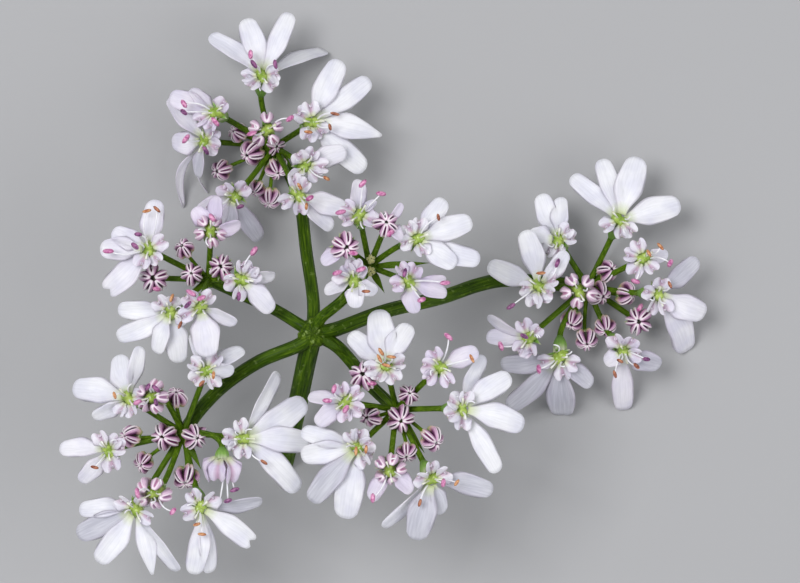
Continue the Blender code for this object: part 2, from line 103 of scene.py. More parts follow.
# Petals
PETAL_THICKNESS = 0.1
PETAL_ROOT = 0.36
PETAL_LAYER = 0.17
PETAL_FULL_WIDTH = 1.25
PETAL_FULLNESS = 1.14
PETAL_MOST_FULL = 1.8
PETAL_ROLL = 0.85
CURVED_BEND = 0.13
RESTING_HEIGHT = 0.12
SHORT_PETAL_LENGTH = 1.45
SHORT_PETAL_WIDTH = 1.1
SHORT_PETAL_RISE = 0.2
SHORT_PETAL_ROOT = 0.34
TONGUE_PLACE = 0.66
TONGUE_FOOT = 0.06
TONGUE_LENGTH = 0.3
TONGUE_RISE = 0.36
TONGUE_WIDTH = 0.24
YOUNG_BLOOM_RADIUS = 0.86
BELL_PETAL_WIDTH = 1.15
BELL_PETALS = 6
BELL_AXIS = (-0.02, -1.0, -0.25)
BELL_CROWN = 0.55
BELL_LENGTH = 1.45
BELL_STAGGER = 0.15
BELL_MOUTH = 0.9
ELBOW = 0.07
ELBOW_LENGTH = 0.09
FLOOR_GAP = 0.01

# Middle of a bloom
DISC_RADIUS = 0.38
DISC_SPREAD = 0.19
DISC_TOP = 0.3
DISC_SINK = 0.3
DISC_HEIGHT = 0.6
DISC_SIDES = 16
DISC_ROWS = 8
DISC_TURN = 1.5
DISC_ROUNDING = 0.6
DISC_RIBS = 8
DISC_RIB_DEPTH = 0.05
STYLE_LENGTH = 0.75
STYLE_PLACE = 0.16
STYLE_RISE = 1.2
STYLE_BOW = 0.12
STYLE_RADII = (0.07, 0.05, 0.045, 0.075)
FILAMENT_LENGTH = 1.9
BARE_FILAMENT_LENGTH = 1.25
BARE_REACH = (0.5, 0.95)
YOUNG_FILAMENT_LENGTH = 0.85
FILAMENT_RADIUS = 0.05
FILAMENT_REACH = 0.9
ANTHER_SIZES = {"pink": (0.6, 0.2), "purple": (0.55, 0.18), "orange": (0.52, 0.14), "brown": (0.5, 0.14)}
STAMEN_COUNT = 4
STAMEN_FOOT = 0.28
STAMEN_RISE = 0.8
STAMEN_BOW = 0.3
STAMEN_STEPS = 9
THREAD_SIDES = 7
FIRST_TURN = 0.4
ANTHER_SIDES = 12
ANTHER_ROWS = 8
ANTHER_WAIST = 0.36
ANTHER_BREADTH = 1.15

# Colours, as shares of red, green and blue. The folded petals' colours each follow their place across.
PETAL_WHITE = (0.84, 0.84, 0.89)
PETAL_LILAC = (0.66, 0.5, 0.74)
PATCH_BLUE = (0.82, 0.82, 0.9)
VEIN_SHADE = 0.92
# Painted shade: the greys that petals marked in the shade are painted with
PAINTED_SHADE_DARK = (0.37, 0.37, 0.44)
PAINTED_SHADE_LIGHT = (0.5, 0.5, 0.57)
# The short petals' groove: partly their own pink and partly painted shade in the crease
GROOVE_PINK_AND_SHADE = (0.5, 0.3, 0.43)
# Purple at the petals' edges: lilac that grows with the tint, and a little painted shade on white petals
# too
EDGE_PURPLE_AND_SHADE = (0.5, 0.28, 0.6)
STREAK_GREY = (0.42, 0.38, 0.42)
ROOT_GREEN = (0.52, 0.6, 0.26)
SPECK_GREEN = (0.3, 0.4, 0.12)
# Towards a folded petal's sides, where the petals meet, these darken to near black: partly purple and
# partly painted shade between the petals
FOLDED_COLOURS_AND_SIDE_SHADE = [(0.3, (0.84, 0.77, 0.81)), (0.58, (0.72, 0.52, 0.65)), (0.8, (0.48, 0.26, 0.42)),
                  (0.94, (0.1, 0.02, 0.08))]
FOOT_GREEN = (0.42, 0.46, 0.16)
FOOT_SALMON = (0.76, 0.5, 0.4)
LINE_PURPLE = (0.36, 0.13, 0.34)
SLOT_PURPLE = ((0.07, 0.01, 0.08), (0.22, 0.03, 0.16))
YOUNG_CAST = (0.84, 0.72, 0.82)
TINY_CAST = (0.62, 0.63, 0.22)
SLOT_PINK = ((0.3, 0.04, 0.25), (0.6, 0.22, 0.42))
FLOOR_GREY = (0.37, 0.37, 0.38)
SKY = (0.95, 0.97, 1.0)

# The tint of a half-open bloom's petals, and how much more lilac short petals are than long ones
YOUNG_TINT = 0.4
SHORT_TINT = 0.08

# The places of the finishes in each piece's list
PETAL, FOLDED, SHORT = 0, 1, 2
FILAMENT, DISC, STYLE = 0, 1, 2
ANTHERS = {"pink": 3, "purple": 4, "orange": 5, "brown": 6}
STALK, OVARY, BUD, TINY, BUD_STALK = 0, 1, 2, 3, 4
RAY, KNOB = 0, 1

# Tones of single parts, from 0 to 1
STEM_TONE = 0.3
KNOB_TONE = 0.4
BRACT_TONE = 0.2
BELL_THREAD_TONE = 0.5

# In place of a petal's lift: the tip comes down to the surface
LOW = "down to the surface"

# How a long petal differs, in words after its lift
# A petal in the shade gets painted shade: its skin is painted grey
SHADED = "in the shade"
POINTED = "pointed"
NOTCHED = "notched"
CURVED = "curved"

# In place of a half-open bloom's petals: it hangs as a bell, with stamens out of its mouth
HANGING = "hanging"
BELL_STAMENS = ((-0.1, -1.9, None), (0.35, -2.1, "purple"), (0.75, -1.45, "purple"))

# A bloom is x, y, rise over the level, lean, tint, long petals, short petals and stamens.
# A number as lean tips the bloom away from the middle of its umbel, a pair tips it along x and y.
# A long petal is the x and y of its tip from the bloom's middle, its width and the lift of its tip.
# A short petal is the x and y of its tip. A stamen is its anther's x and y, and its colour.
# The tint goes from 0, white, to 1, lilac.
TOP_BLOOMS = (
    (-3.1, 15.5, 0.2, 0.15, 0,
     ((-3.2, 2.5, 1, 0.3), (-1, 3.5, 1.3, 0), (1.7, 3.8, 1.1, 0), (3.8, 1.6, 0.8, LOW)),
     ((-1.1, -0.2), (-0.6, -0.5), (0.8, 0.1), (0.4, -0.5)),
     ((-0.7, 1.3, "pink"), (0.8, 0.7, "purple"), (-0.5, 0.7, "purple"))),
    (-0.1, 12.7, 0.9, 0.2, 0,
     ((1.7, 3.8, 1.4, 0.3), (3.5, 2.6, 1.2, 0), (4.2, -0.8, 1.4, 0, POINTED), (3.2, -2.9, 1.4, 0)),
     ((-0.1, 1), (-0.7, 0.4), (-0.3, -0.7), (0.7, -0.7)),
     ((1.4, 0.5, "brown"), (-0.2, -0.6, "orange"), (1.1, -0.3, "brown"))),
    (-0.5, 10.1, 2, 0.2, 0.1,
     ((2.5, 0.9, 1.2, 0),), ((-0.4, 0.6), (0.5, 0.9), (-0.5, -0.5), (0.7, -0.6), (1.3, -0.2)),
     ((1.3, -0.8, "orange"),)),
    (-0.9, 8.3, 3, 0, 0.1,
     ((2.9, -0.9, 1.2, 0), (2, -2.1, 0.9, -0.3)), ((-0.6, -0.3), (0.1, -0.7), (-0.3, 0.7), (0.6, 0.6)),
     ((0.7, -0.2, "pink"), (0.1, 0.5, "orange"), (0.5, -0.7, "orange"))),
    (-2.8, 12.2, 1.9, 0, 0.5, (), (), ((-0.9, -0.2, "pink"), (1.4, 0.7, "pink"))),
    (-5.9, 13.3, 1.5, (-0.3, 0.1), 0.3,
     ((-1.6, 1.4, 0.6, 0.3), (-2.8, 1, 1.2, 0)), ((-0.2, -0.9), (0.7, 0.5), (-0.9, -0.6)),
     ((-1.9, 0.5, "pink"), (-1.9, 0, "purple"), (0, -0.6, "pink"))),
    (-6.6, 11.6, 0, (-0.3, -0.1), 0.2,
     ((-2.2, 2.6, 0.8, -0.6), (-2, -0.1, 1.3, -0.4), (-0.3, -2.2, 0.8, 0, SHADED),
      (-1.4, -4, 0.3, LOW, POINTED, CURVED), (0.1, -3.1, 0.3, LOW, POINTED, CURVED)),
     ((0.8, 0.6), (0.9, -0.4)), ((-1.1, 0.1, "pink"), (0.1, -0.6, "purple"))),
    (-4.8, 8.3, 1, (-0.1, -0.5), 0.3,
     ((-2.2, -1.1, 1.2, 0), (-1.1, -1.8, 0.8, 0), (-0.1, -1.9, 0.8, 0, SHADED),
      (1.5, -2.8, 0.8, 0, SHADED)), ((-0.7, 0.8), (0.7, 0.7)),
     ((-1.4, -0.7, "purple"), (0.4, -0.7, "purple"))),
)

LEFT_BLOOMS = (
    (-9.8, 5, 0, 0.2, 0.1,
     ((0.4, 3, 1.3, 0), (-2.2, 1.1, 1.2, 0.3), (-2.9, 0, 1.3, 0), (-2.6, -2.6, 1.4, 0, NOTCHED)),
     ((0.9, 0.4), (0.7, -0.7), (-0.4, -1)),
     ((0.5, 2.4, "brown"), (-2.4, -0.1, "pink"), (-0.1, 2.3, "orange"), (-0.6, 0.9, "purple"),
      (-0.8, 0.2, "purple"))),
    (-8.5, 1.3, 0, 0.2, 0,
     ((-3.2, 0.1, 1.1, 0), (-3.2, -1.6, 1.1, 0), (-0.8, -2.5, 1, 0), (0.5, -3.1, 1.3, 0)),
     ((-0.7, 0.7), (0.1, 0.8), (0.5, -0.2)), ((0.1, 0.8, "orange"), (0.6, -0.8, "brown"))),
    (-6.7, 1.6, 2, 0.2, 0.1,
     ((2.2, -1, 0.8, 0), (0.5, -3, 1.6, 0)), ((-0.8, -0.5), (0.5, 0.6), (-0.6, 0.6)),
     ((-0.5, 0.8, "pink"), (0.1, 0.5, "pink"), (-0.7, 0.1, "purple"))),
    (-4.3, 3.2, 0, 0.2, 0.1,
     ((2.1, 0.3, 0.6, 0), (1.9, -1.9, 1.2, 0)),
     ((0, 0.9), (0.5, 0.8), (0.9, 0.4), (-0.8, 0), (-0.3, -0.9)),
     ((0.8, 1.7, "pink"), (-0.1, -1, "purple"))),
    (-6.1, 6.1, 0, 0, 0.5,
     ((-1, 1.4, 1.1, 0), (0.4, 2.1, 0.8, 0), (1.8, 0.5, 0.7, 0)), (), ((0.1, 0.8, "pink"),)),
)

LOWER_LEFT_BLOOMS = (
    (-6.4, -2.3, 0, 0.2, 0,
     ((-0.8, 2.3, 0.9, 0), (2.3, 1.3, 0.9, 0), (1.7, 0.1, 0.6, 0)),
     ((-0.7, 0.3), (-0.6, -0.6), (0.4, -0.8), (0.6, 0.8)),
     ((0.5, -0.2, "orange"), (-0.2, -0.7, "brown"))),
    (-11, -3.9, 0, 0.2, 0,
     ((-3.4, 0.7, 1.4, 0), (-0.6, 2.6, 1.3, 0), (0.7, 3.1, 0.6, 0), (-2.2, -1.1, 0.6, 0)),
     ((0.8, 0.1), (0.4, -0.8), (-0.4, -0.8)), ((-0.8, 0.2, "orange"),)),
    (-9.5, -3.8, 1.2, (-0.3, 0), 0.4,
     (), (), ((-0.9, -0.3, "pink"), (-0.3, 0.6, "purple"), (0.2, 0.5, "purple"), (0.2, -0.3, "purple"))),
    (-12.2, -7, 0, 0.2, 0.1,
     ((-3, 0.1, 1, 0), (-1.7, -1.9, 0.9, 0)), ((-0.4, 0.8), (0.2, -0.8), (0.9, 0.1), (0.7, 0.7)),
     ((-0.8, -1, "brown"),)),
    (-10.6, -10.5, 0, 0.2, 0,
     ((-3.4, -0.1, 1, 0), (-3.5, -1.6, 1.3, 0, SHADED), (-2.2, -3.2, 1.3, 0),
      (1, -4, 1.1, 0, POINTED), (2.6, -3.7, 0.8, 0)), ((-0.7, 0.6), (0.4, 0.6), (0.9, -0.4)), ()),
    (-6.7, -10.4, 0, 0.2, 0,
     ((3.7, 0.4, 0.8, 0, SHADED), (3.2, -2.2, 1.2, 0, NOTCHED), (-0.4, -4, 1.2, 0), (0.5, -4, 0.9, 0)),
     ((-1.1, -0.2), (-0.4, 0.7), (0.6, 0.5)), ((-0.2, -1, "orange"), (0.1, -1.6, "orange"))),
    (-4.2, -6.3, 0, 0.2, 0,
     ((2.1, 4, 0.8, 0), (3.8, 2.2, 1.5, 0), (4.1, -0.2, 1.4, 0), (3.4, -3.1, 1.3, 0)),
     ((-0.2, 0.7), (-0.8, 0.1), (0.1, -1), (-0.7, -0.7)), ((1.3, -1.4, "brown"),)),
    (-9.4, -9.5, 1.5, (-0.3, -0.3), 0.4, (), (), ((1.1, -1.1, "pink"), (-1, 0, "pink"))),
)

LOWER_MIDDLE_BLOOMS = (
    (4.4, -2, 0, 0.2, 0,
     ((-2.2, 2, 1.2, 0), (-0.5, 3.4, 1.6, 0), (1.4, 2.5, 1.3, 0)),
     ((-0.9, -0.2), (-0.4, -0.8), (0.5, -0.7), (0.9, 0.1)),
     ((-0.4, 0.5, "orange"), (-0.3, 0.9, "orange"), (0.3, 0.6, "orange"), (0, 0.1, "orange"))),
    (7.6, -2, 0.9, 0.2, 0.3,
     ((2.3, 1, 1.1, 0),), ((-0.4, 0.8), (-0.6, -0.6), (0.4, -0.8), (-0.9, 0.1)),
     ((0.5, 1.8, "pink"), (1.9, 0.5, "orange"))),
    (8.9, -4.5, 0, 0.2, 0,
     ((1.3, 3.2, 0.9, 0), (2.9, 2, 1.3, 0), (3.7, -1, 1.4, 0), (2.2, -3.8, 1.1, 0)),
     ((0, 0.7), (0, -1), (-0.8, 0.4), (-0.8, -0.5)), ()),
    (7.1, -8.7, 0, 0.2, 0,
     ((3.7, -0.7, 1.2, 0, SHADED), (0.6, -2.1, 0.9, 0, SHADED), (-1, -3.6, 1.6, 0, SHADED),
      (-2.9, -2.9, 0.7, 0)), ((-0.8, 0.3), (0, 0.9), (0.8, 0.6)),
     ((-0.7, -1.4, "brown"), (0.7, -0.2, "pink"), (1.5, -0.2, "orange"))),
    (2.7, -6.8, 0, 0.2, 0,
     ((-3.4, 0.9, 1, 0), (-3.4, -0.5, 1.3, 0), (-2.8, -3.2, 1.3, 0, SHADED), (-0.8, -4.3, 1.7, 0)),
     ((-0.4, 0.8), (0.2, 0.9), (0.8, 0.5), (1.1, -0.3), (0.7, -1.2)),
     ((0.5, -0.1, "orange"), (-0.1, -0.2, "orange"))),
    (2, -4.1, 0.9, 0.2, 0.3,
     ((-2.3, 0.3, 0.7, 0), (-1.8, -1.3, 1, 0)), ((-0.3, 0.9), (0.7, 0.6), (0.8, -0.4), (0.1, -0.9)),
     ((-0.7, 0.8, "pink"), (-1.1, 0.1, "pink"), (0, -0.4, "pink"))),
    (4.6, -8.1, 0.9, 0.2, 0.4, ((-1.1, -1.9, 0.8, 0), (1.3, -1.4, 0.8, 0)), (), ((-1, -1.7, "pink"),)),
)

RIGHT_BLOOMS = (
    (18.5, 6.8, 0, 0.15, 0,
     ((-2.9, 2.7, 1.1, 0), (-1.1, 3.7, 1.2, 0), (1.1, 3.8, 1.6, 0), (3.7, 1, 1.5, 0)),
     ((-0.5, -0.3), (0, -0.7), (0.9, -0.8)), ()),
    (14.8, 5.6, 0, 0.15, 0,
     ((-1.1, 2.8, 1.2, 0), (0.2, 2.6, 1, 0), (-1.9, 0.1, 1.5, 0)),
     ((0.7, 0.1), (0, -0.5), (0.8, 0.8), (-0.7, -0.8)), ()),
    (13.6, 2.8, 1.6, 0.15, 0,
     ((-3.1, 1.3, 1.2, 0), (-0.8, 3.4, 1.3, 0), (1.7, 2.1, 0.8, 0)),
     ((-1.2, 0), (-0.9, -0.8), (-0.3, -1.3), (0.2, -1.2), (0.9, -0.4), (0.8, 0.3)),
     ((1.1, 1.4, "purple"), (0.1, 0.8, "orange"), (-1.7, -1.2, "purple"))),
    (19.9, 4.5, 1.5, 0, 0.1,
     ((1.5, 0.3, 0.8, 0),), ((-0.3, 1), (-0.9, 0.2), (-0.5, -0.9), (0.6, -0.8)),
     ((-0.5, -1.4, "pink"), (0.3, 0.3, "orange"), (1, 0.7, "orange"), (1.6, -0.3, "pink"))),
    (20.8, 2.4, 0.2, (0.3, -0.3), 0.1,
     ((2.5, 2, 1.2, 0, SHADED), (2.9, -1.3, 1.5, 0), (1.9, -3.5, 1.5, LOW)),
     ((-0.6, 0.2), (-0.5, -0.7), (0.2, 0.9), (0.3, -1)), ((0.7, 0.5, "brown"),)),
    (18.7, -1, 0, (0.1, -0.5), 0.2,
     ((0.1, -3.7, 1.2, LOW), (2.3, -1, 1.3, 0, SHADED), (-1.1, -0.8, 0.7, 0)),
     ((-0.5, 0.8), (0.5, 0.8), (0.9, 0.1)),
     ((0.8, -1, "brown"), (-0.2, -0.7, "brown"), (-0.5, -1.5, "brown"), (1.4, -0.6, "purple"))),
    (14.9, -1.5, 0, (-0.1, -0.4), 0.1,
     ((-3.6, -0.5, 1.2, 0, SHADED), (-3.1, -3.1, 1.2, 0, SHADED), (0.2, -3.5, 1.6, LOW, SHADED),
      (1.9, -1.8, 0.8, 0, SHADED)), ((-0.7, -0.1), (0.1, -0.8), (1.1, -0.3)), ((-1.3, -0.7, "pink"),)),
    (13, -0.3, 1.2, 0.2, 0.2,
     ((-2.6, 0, 0.9, 0), (-2.5, 1.3, 0.6, 0)), ((-0.3, 0.8), (0.6, 0.5), (0.3, -0.8), (-0.6, -0.8)),
     ((-1.7, -0.5, "pink"), (-0.3, 0.1, "purple"))),
    (16, 2.5, 1.5, 0, 0.6, (), (), ()),
)

CENTRE_BLOOMS = (
    (2.8, 7, 0, 0.2, 0.2,
     ((-0.1, 2.2, 0.8, 0), (1, 0.9, 0.6, 0)), ((-0.9, 0.7), (-0.9, -0.4), (0.6, -0.4)),
     ((0.2, 1.9, "pink"), (1.3, 1.3, "pink"), (-1.1, 0.2, "pink"))),
    (6.2, 5.6, 0.2, 0.2, 0,
     ((1.7, 2.4, 1.2, 0), (3.3, 1.1, 1.3, 0), (2.3, -1.6, 1.3, 0), (3.8, -1.3, 1.2, 0)),
     ((-0.5, 0.7), (0.1, 1), (-0.5, -0.2), (0.3, -0.9)), ((1.3, 1.3, "brown"),)),
    (2.5, 3.2, 0, 0.2, 0.1,
     ((-1.8, -0.8, 0.6, 0), (0.1, -1.7, 1.1, 0), (1.4, -0.7, 1, 0)),
     ((-0.9, 0.4), (-0.4, 1), (0.1, 1), (0.6, 0.7)),
     ((-1, 0.4, "pink"), (0.4, 0.6, "pink"), (0.7, -0.7, "brown"))),
    (5.7, 3.1, -0.5, 0.2, 0.4,
     ((2.3, 0.1, 0.7, 0), (2.3, -0.8, 0.8, 0), (0.4, -1.9, 0.8, 0)),
     ((-0.6, 0.7), (0.5, 0.8), (-0.9, -0.2)),
     ((2.2, -0.1, "pink"), (0.8, -1.1, "pink"), (-0.2, 0.5, "purple"))),
)

# Each small umbel: its level, its ray from the hub to its knot, its buds as x, y and radius, the tips
# of its bracts, and its blooms. A half-open bloom is x, y, rise, radius and the long petals that
# have opened already.
UMBELS = {
    "top": {
        "level": 3.3, "ray_radius": 0.36,
        "ray": ((0, 0, 8), (0, 2, 6.7), (-0.45, 5, 4.2), (-0.8, 7.7, 1.6), (-1.4, 9.4, 0.5),
            (-2.4, 11.3, 1.15)),
        "buds": ((-4.6, 12.1, 0.6), (-3.7, 10.9, 0.75), (-2.3, 11.3, 0.55), (-5.6, 9.9, 0.65),
            (-2.3, 10, 0.7), (-3.5, 8.8, 0.55), (-2.7, 8.2, 0.7)),
        "bracts": (),
        "half_open": (),
        "blooms": TOP_BLOOMS,
    },
    "left": {
        "level": 9.9, "ray_radius": 0.33,
        "ray": ((0, 0, 8), (-0.8, 0.5, 7.9), (-2.3, 1.4, 7.3), (-4.1, 2.2, 6.6), (-6.3, 3.2, 6.9)),
        "buds": ((-7.7, 5, 0.6), (-7.2, 3.5, 0.65)),
        "bracts": (),
        "half_open": ((-9.5, 3.3, -1.3, 0.85, ()), (-5.5, 3.9, -1.3, 0.75, ())),
        "blooms": LEFT_BLOOMS,
    },
    "lower_left": {
        "level": 10.2, "ray_radius": 0.39,
        "ray": ((0, 0, 8), (-0.8, -0.7, 8), (-3.2, -1.7, 7.7), (-5.3, -3.1, 7), (-6.8, -4.6, 6.5),
            (-7.8, -6, 7.6)),
        "buds": ((-8.2, -3.9, 0.65), (-10.9, -6.2, 0.7), (-8.8, -6.2, 0.85), (-7.1, -6.2, 0.75),
            (-10.1, -7.7, 0.65), (-7.6, -8.6, 0.75)),
        "bracts": ((-6.7, -8.2),),
        "half_open": ((-5.4, -7.9, 0.9, 0.8, HANGING),),
        "blooms": LOWER_LEFT_BLOOMS,
    },
    "lower_middle": {
        "level": 11.4, "ray_radius": 0.37,
        "ray": ((0, 0, 8), (1.3, -0.7, 7.8), (2.2, -1.6, 7.4), (3.4, -3.1, 7.1), (5, -4.6, 8.4)),
        "buds": ((5.7, -3.7, 0.6), (3.5, -5, 0.65), (5.2, -5.1, 0.85), (7.1, -6.3, 0.75),
            (5.6, -7.1, 0.65)),
        "bracts": ((6.7, -7.2),),
        "half_open": ((3.05, -2.6, -1.2, 0.8, ()),),
        "blooms": LOWER_MIDDLE_BLOOMS,
    },
    "right": {
        "level": 3.3, "ray_radius": 0.41,
        "ray": ((0, 0, 8), (1.3, 0.2, 7.8), (4.3, 1.3, 6.2), (7.6, 2.1, 4.3), (10, 2.9, 2.7),
            (11.8, 3.2, 1.5), (14.2, 3, 0.6), (16.6, 2.8, 1.15)),
        "buds": ((17.8, 3.7, 0.65), (17.2, 2.4, 0.75), (18.9, 2.3, 0.7), (15.7, 0.8, 0.7),
            (17.6, 0.4, 0.65), (16.5, -0.4, 0.7)),
        "bracts": (),
        "half_open": ((19.7, 0.7, -1.2, 0.85, ()),),
        "blooms": RIGHT_BLOOMS,
    },
    "centre": {
        "level": 13, "ray_radius": 0.33,
        "ray": ((0, 0, 8), (0.5, 0.9, 8.5), (1.9, 2.1, 9.6), (3.4, 4, 10.4)),
        "buds": ((3.5, 4.4, 0.28), (3.5, 3.7, 0.3)),
        "bracts": ((4.3, 2.4), (7, 4.2)),
        "half_open": ((4.4, 6.45, 1.5, 0.75, ((0.9, 1.3, 0.4, 0.3), (0.9, -0.9, 0.6, 0.2))),
            (1.9, 5.2, 1.1, 0.75, ((-1.3, -1.1, 0.8, 0),))),
        "blooms": CENTRE_BLOOMS,
    },
}

STEM_ROUTE = ((0, 0, 8), (-0.45, -1.9, 6.4), (-0.9, -4, 4.4), (-1.5, -6.5, 1.8), (-1.85, -7.9, 0))

# Where an ovary shows beside its bloom: how far it leans along x and y, for a rise of one
OVARY_LEANS = {
    "top_bloom_1": (0.1, 1.2),
    "top_bloom_8": (-0.6, -0.6),
    "lower_left_bloom_6": (0.3, -1.1),
    "lower_left_bloom_7": (0.9, -0.1),
    "lower_middle_bloom_3": (1.1, 0),
    "lower_middle_bloom_4": (0.5, -1),
    "right_bloom_1": (0.5, 1.1),
    "right_bloom_5": (1.1, 0),
    "right_bloom_6": (0.7, -0.8),
    "right_bloom_7": (0, -1.5),
    "centre_bloom_2": (0.8, 0.3),
}

UP = np.array((0.0, 0.0, 1.0))
FULL_TURN = 2 * math.pi

# Folded petals and an ovary's teeth come in rings of five
RING_OF_FIVE = 5


def unit(direction):
    """A direction of length one."""
    return direction / np.linalg.norm(direction)


def vector(*values):
    """A point or direction as an array."""
    return np.array(values, float)


def sideways(direction):
    """Any direction square to the given one."""
    other = vector(1, 0, 0) if abs(direction[0]) < 0.8 else vector(0, 1, 0)
    return unit(np.cross(direction, other))


def around(axis, turn):
    """The direction square to an axis that lies at a turn about it."""
    side = sideways(axis)
    return side * math.cos(turn) + np.cross(axis, side) * math.sin(turn)


def curve(start, pull, end, count):
    """Points on a curve from start to end that bends towards the point between them."""
    t = np.linspace(0, 1, count)[:, None]
    return (1 - t) ** 2 * start + 2 * t * (1 - t) * pull + t**2 * end


class Shape:
    """The points and faces of one piece, gathered before its mesh is made.

    Each point keeps how far along and across its part it lies, and its part's tone.
    """

    def __init__(self):
        self.points = []
        self.faces = []
        self.finishes = []
        self.along = []
        self.across = []
        self.tone = []

    def loft(self, rings, along, across, tone, finish, ends):
        """Adds a closed part through rings of as many points each. Its ends are flat or seamed."""
        rows, count, _ = rings.shape
        first = len(self.points)
        self.points.extend(rings.reshape(-1, 3).tolist())
        self.along.extend(np.broadcast_to(along, (rows, count)).ravel().tolist())
        self.across.extend(np.broadcast_to(across, (rows, count)).ravel().tolist())
        self.tone.extend([tone] * (rows * count))
        made = []
        for row in range(rows - 1):
            low = first + row * count
            high = low + count
            for i in range(count):
                following = (i + 1) % count
                made.append((low + i, low + following, high + following, high + i))
        for start, flipped in ((first, True), (first + (rows - 1) * count, False)):
            if ends == "flat":
                face = [start + i for i in range(count)]
                made.append(tuple(reversed(face)) if flipped else tuple(face))
            else:
                made.extend(seam_faces(start, count, flipped))
        self.faces.extend(made)
        self.finishes.extend([finish] * len(made))

    def build(self, name, materials):
        """The finished object, in metres."""
        mesh = bpy.data.meshes.new(name)
        points = (np.array(self.points) + HUB_PLACE) * MM
        mesh.from_pydata(points.tolist(), [], self.faces)
        for key, values in (("along", self.along), ("across", self.across), ("tone", self.tone)):
            layer = mesh.attributes.new(key, "FLOAT", "POINT")
            layer.data.foreach_set("value", values)
        for material in materials:
            mesh.materials.append(material)
        mesh.polygons.foreach_set("material_index", self.finishes)
        mesh.shade_smooth()
        mesh.update()
        made = bpy.data.objects.new(name, mesh)
        bpy.context.scene.collection.objects.link(made)
        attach(made, "root")
        return made


def seam_faces(start, count, flipped):
    """Faces that close a flat ring, from its one long side to the other."""
    half = count // 2
    made = []
    for i in range(half):
        near = (i, i + 1)
        far = (count - i - 1, (count - i) % count)
        face = [start + corner for corner in dict.fromkeys((*near, *far))]
        made.append(tuple(reversed(face)) if flipped else tuple(face))
    return made


def smooth_route(points, steps):
    """Points on a smooth curve that passes through the given ones."""
    points = [np.array(point, float) for point in points]
    ends = [points[0] * 2 - points[1], *points, points[-1] * 2 - points[-2]]
    found = []
    for a, b, c, d in zip(ends, ends[1:], ends[2:], ends[3:]):
        for k in range(steps):
            t = k / steps
            bend = (2 * a - 5 * b + 4 * c - d) * t**2 + (3 * b - a - 3 * c + d) * t**3
            found.append(0.5 * (2 * b + (c - a) * t + bend))
    return [*found, points[-1]]


def tube(shape, points, radii, sides, tone, finish, ribs=0, rib_depth=0.0):
    """A stalk along a list of points, with a radius at each and ribs along it."""
    turn = FULL_TURN * np.arange(sides) / sides
    ribbed = 1 + rib_depth * np.cos(ribs * turn)
    side = sideways(unit(points[1] - points[0]))
    rings = []
    for i, point in enumerate(points):
        before = points[max(i - 1, 0)]
        after = points[min(i + 1, len(points) - 1)]
        ahead = unit(after - before)
        side = unit(side - ahead * np.dot(side, ahead))
        other = np.cross(ahead, side)
        ring = np.outer(np.cos(turn) * ribbed, side) + np.outer(np.sin(turn) * ribbed, other)
        rings.append(point + ring * radii[i])
    along = np.linspace(0, 1, len(points))[:, None]
    shape.loft(np.array(rings), along, turn / FULL_TURN, tone, finish, "flat")


def turned(shape, foot, axis, profile, sides, tone, finish, ribs=0, rib_depth=0.0):
    """A part turned about an axis. The profile is distance along the axis and radius."""
    points = [foot + axis * distance for distance, _ in profile]
    radii = [radius for _, radius in profile]
    tube(shape, points, radii, sides, tone, finish, ribs, rib_depth)


# How wide a petal's notch and fold are, and how deep its edges ripple, as shares of half its width
NOTCH_SPREAD = 0.3
FOLD_SPREAD = 0.22
RIPPLE = 0.05

# How fast the ripple turns along a petal, with its tone and across it, how square the end is, how
# far a hook pulls the tip back, and how much the skin thins to the edges and to the tip
RIPPLE_TURNS = (9, 12, 2)
END_POWER = 2.3
HOOK_PULL = 0.8
EDGE_THINNING = 0.8
TIP_THINNING = 0.5

# A petal's form. Its width starts at base and is full at widest, and taper is what is left at the
# tip. Skew widens one side sooner. Rounding shapes the end and notch cuts into it. Cup and fold
# are depths across as shares of half the width, arch and hook along as shares of the length.
LONG_FORM = {
    "rows": 16, "columns": 11, "base": 0.3, "widest": 0.6, "taper": 0.9, "skew": 0.2, "rounding": 1.15,
    "notch": 0.0, "cup": 0.2, "arch": 0.06, "hook": 0.0, "fold": 0.04,
}
POINTED_FORM = {**LONG_FORM, "widest": 0.5, "taper": 0.3, "rounding": 1.0}
NOTCHED_FORM = {**LONG_FORM, "notch": 0.1, "rounding": 0.9}
SHORT_FORM = {
    "rows": 12, "columns": 15, "base": 0.34, "widest": 0.72, "taper": 1.0, "skew": 0.25, "rounding": 1.1,
    "notch": 0.34, "cup": 0.3, "arch": 0.04, "hook": 0.12, "fold": 0.42,
}
PLAIN_FORM = {**SHORT_FORM, "columns": 7, "skew": 0.0, "notch": 0.0, "fold": 0.0, "hook": 0.0, "taper": 0.5}
TONGUE_FORM = {**PLAIN_FORM, "rows": 6, "hook": 0.3}
BELL_FORM = {**SHORT_FORM, "base": 0.45, "notch": 0.18, "cup": 0.5, "arch": 0.2, "hook": 0.0, "fold": 0.15}
TOOTH_FORM = {**PLAIN_FORM, "rows": 5, "base": 1.0, "widest": 0.1, "taper": 0.15}
BRACT_FORM = {**PLAIN_FORM, "base": 0.6, "widest": 0.35, "taper": 0.08, "arch": 0.12}


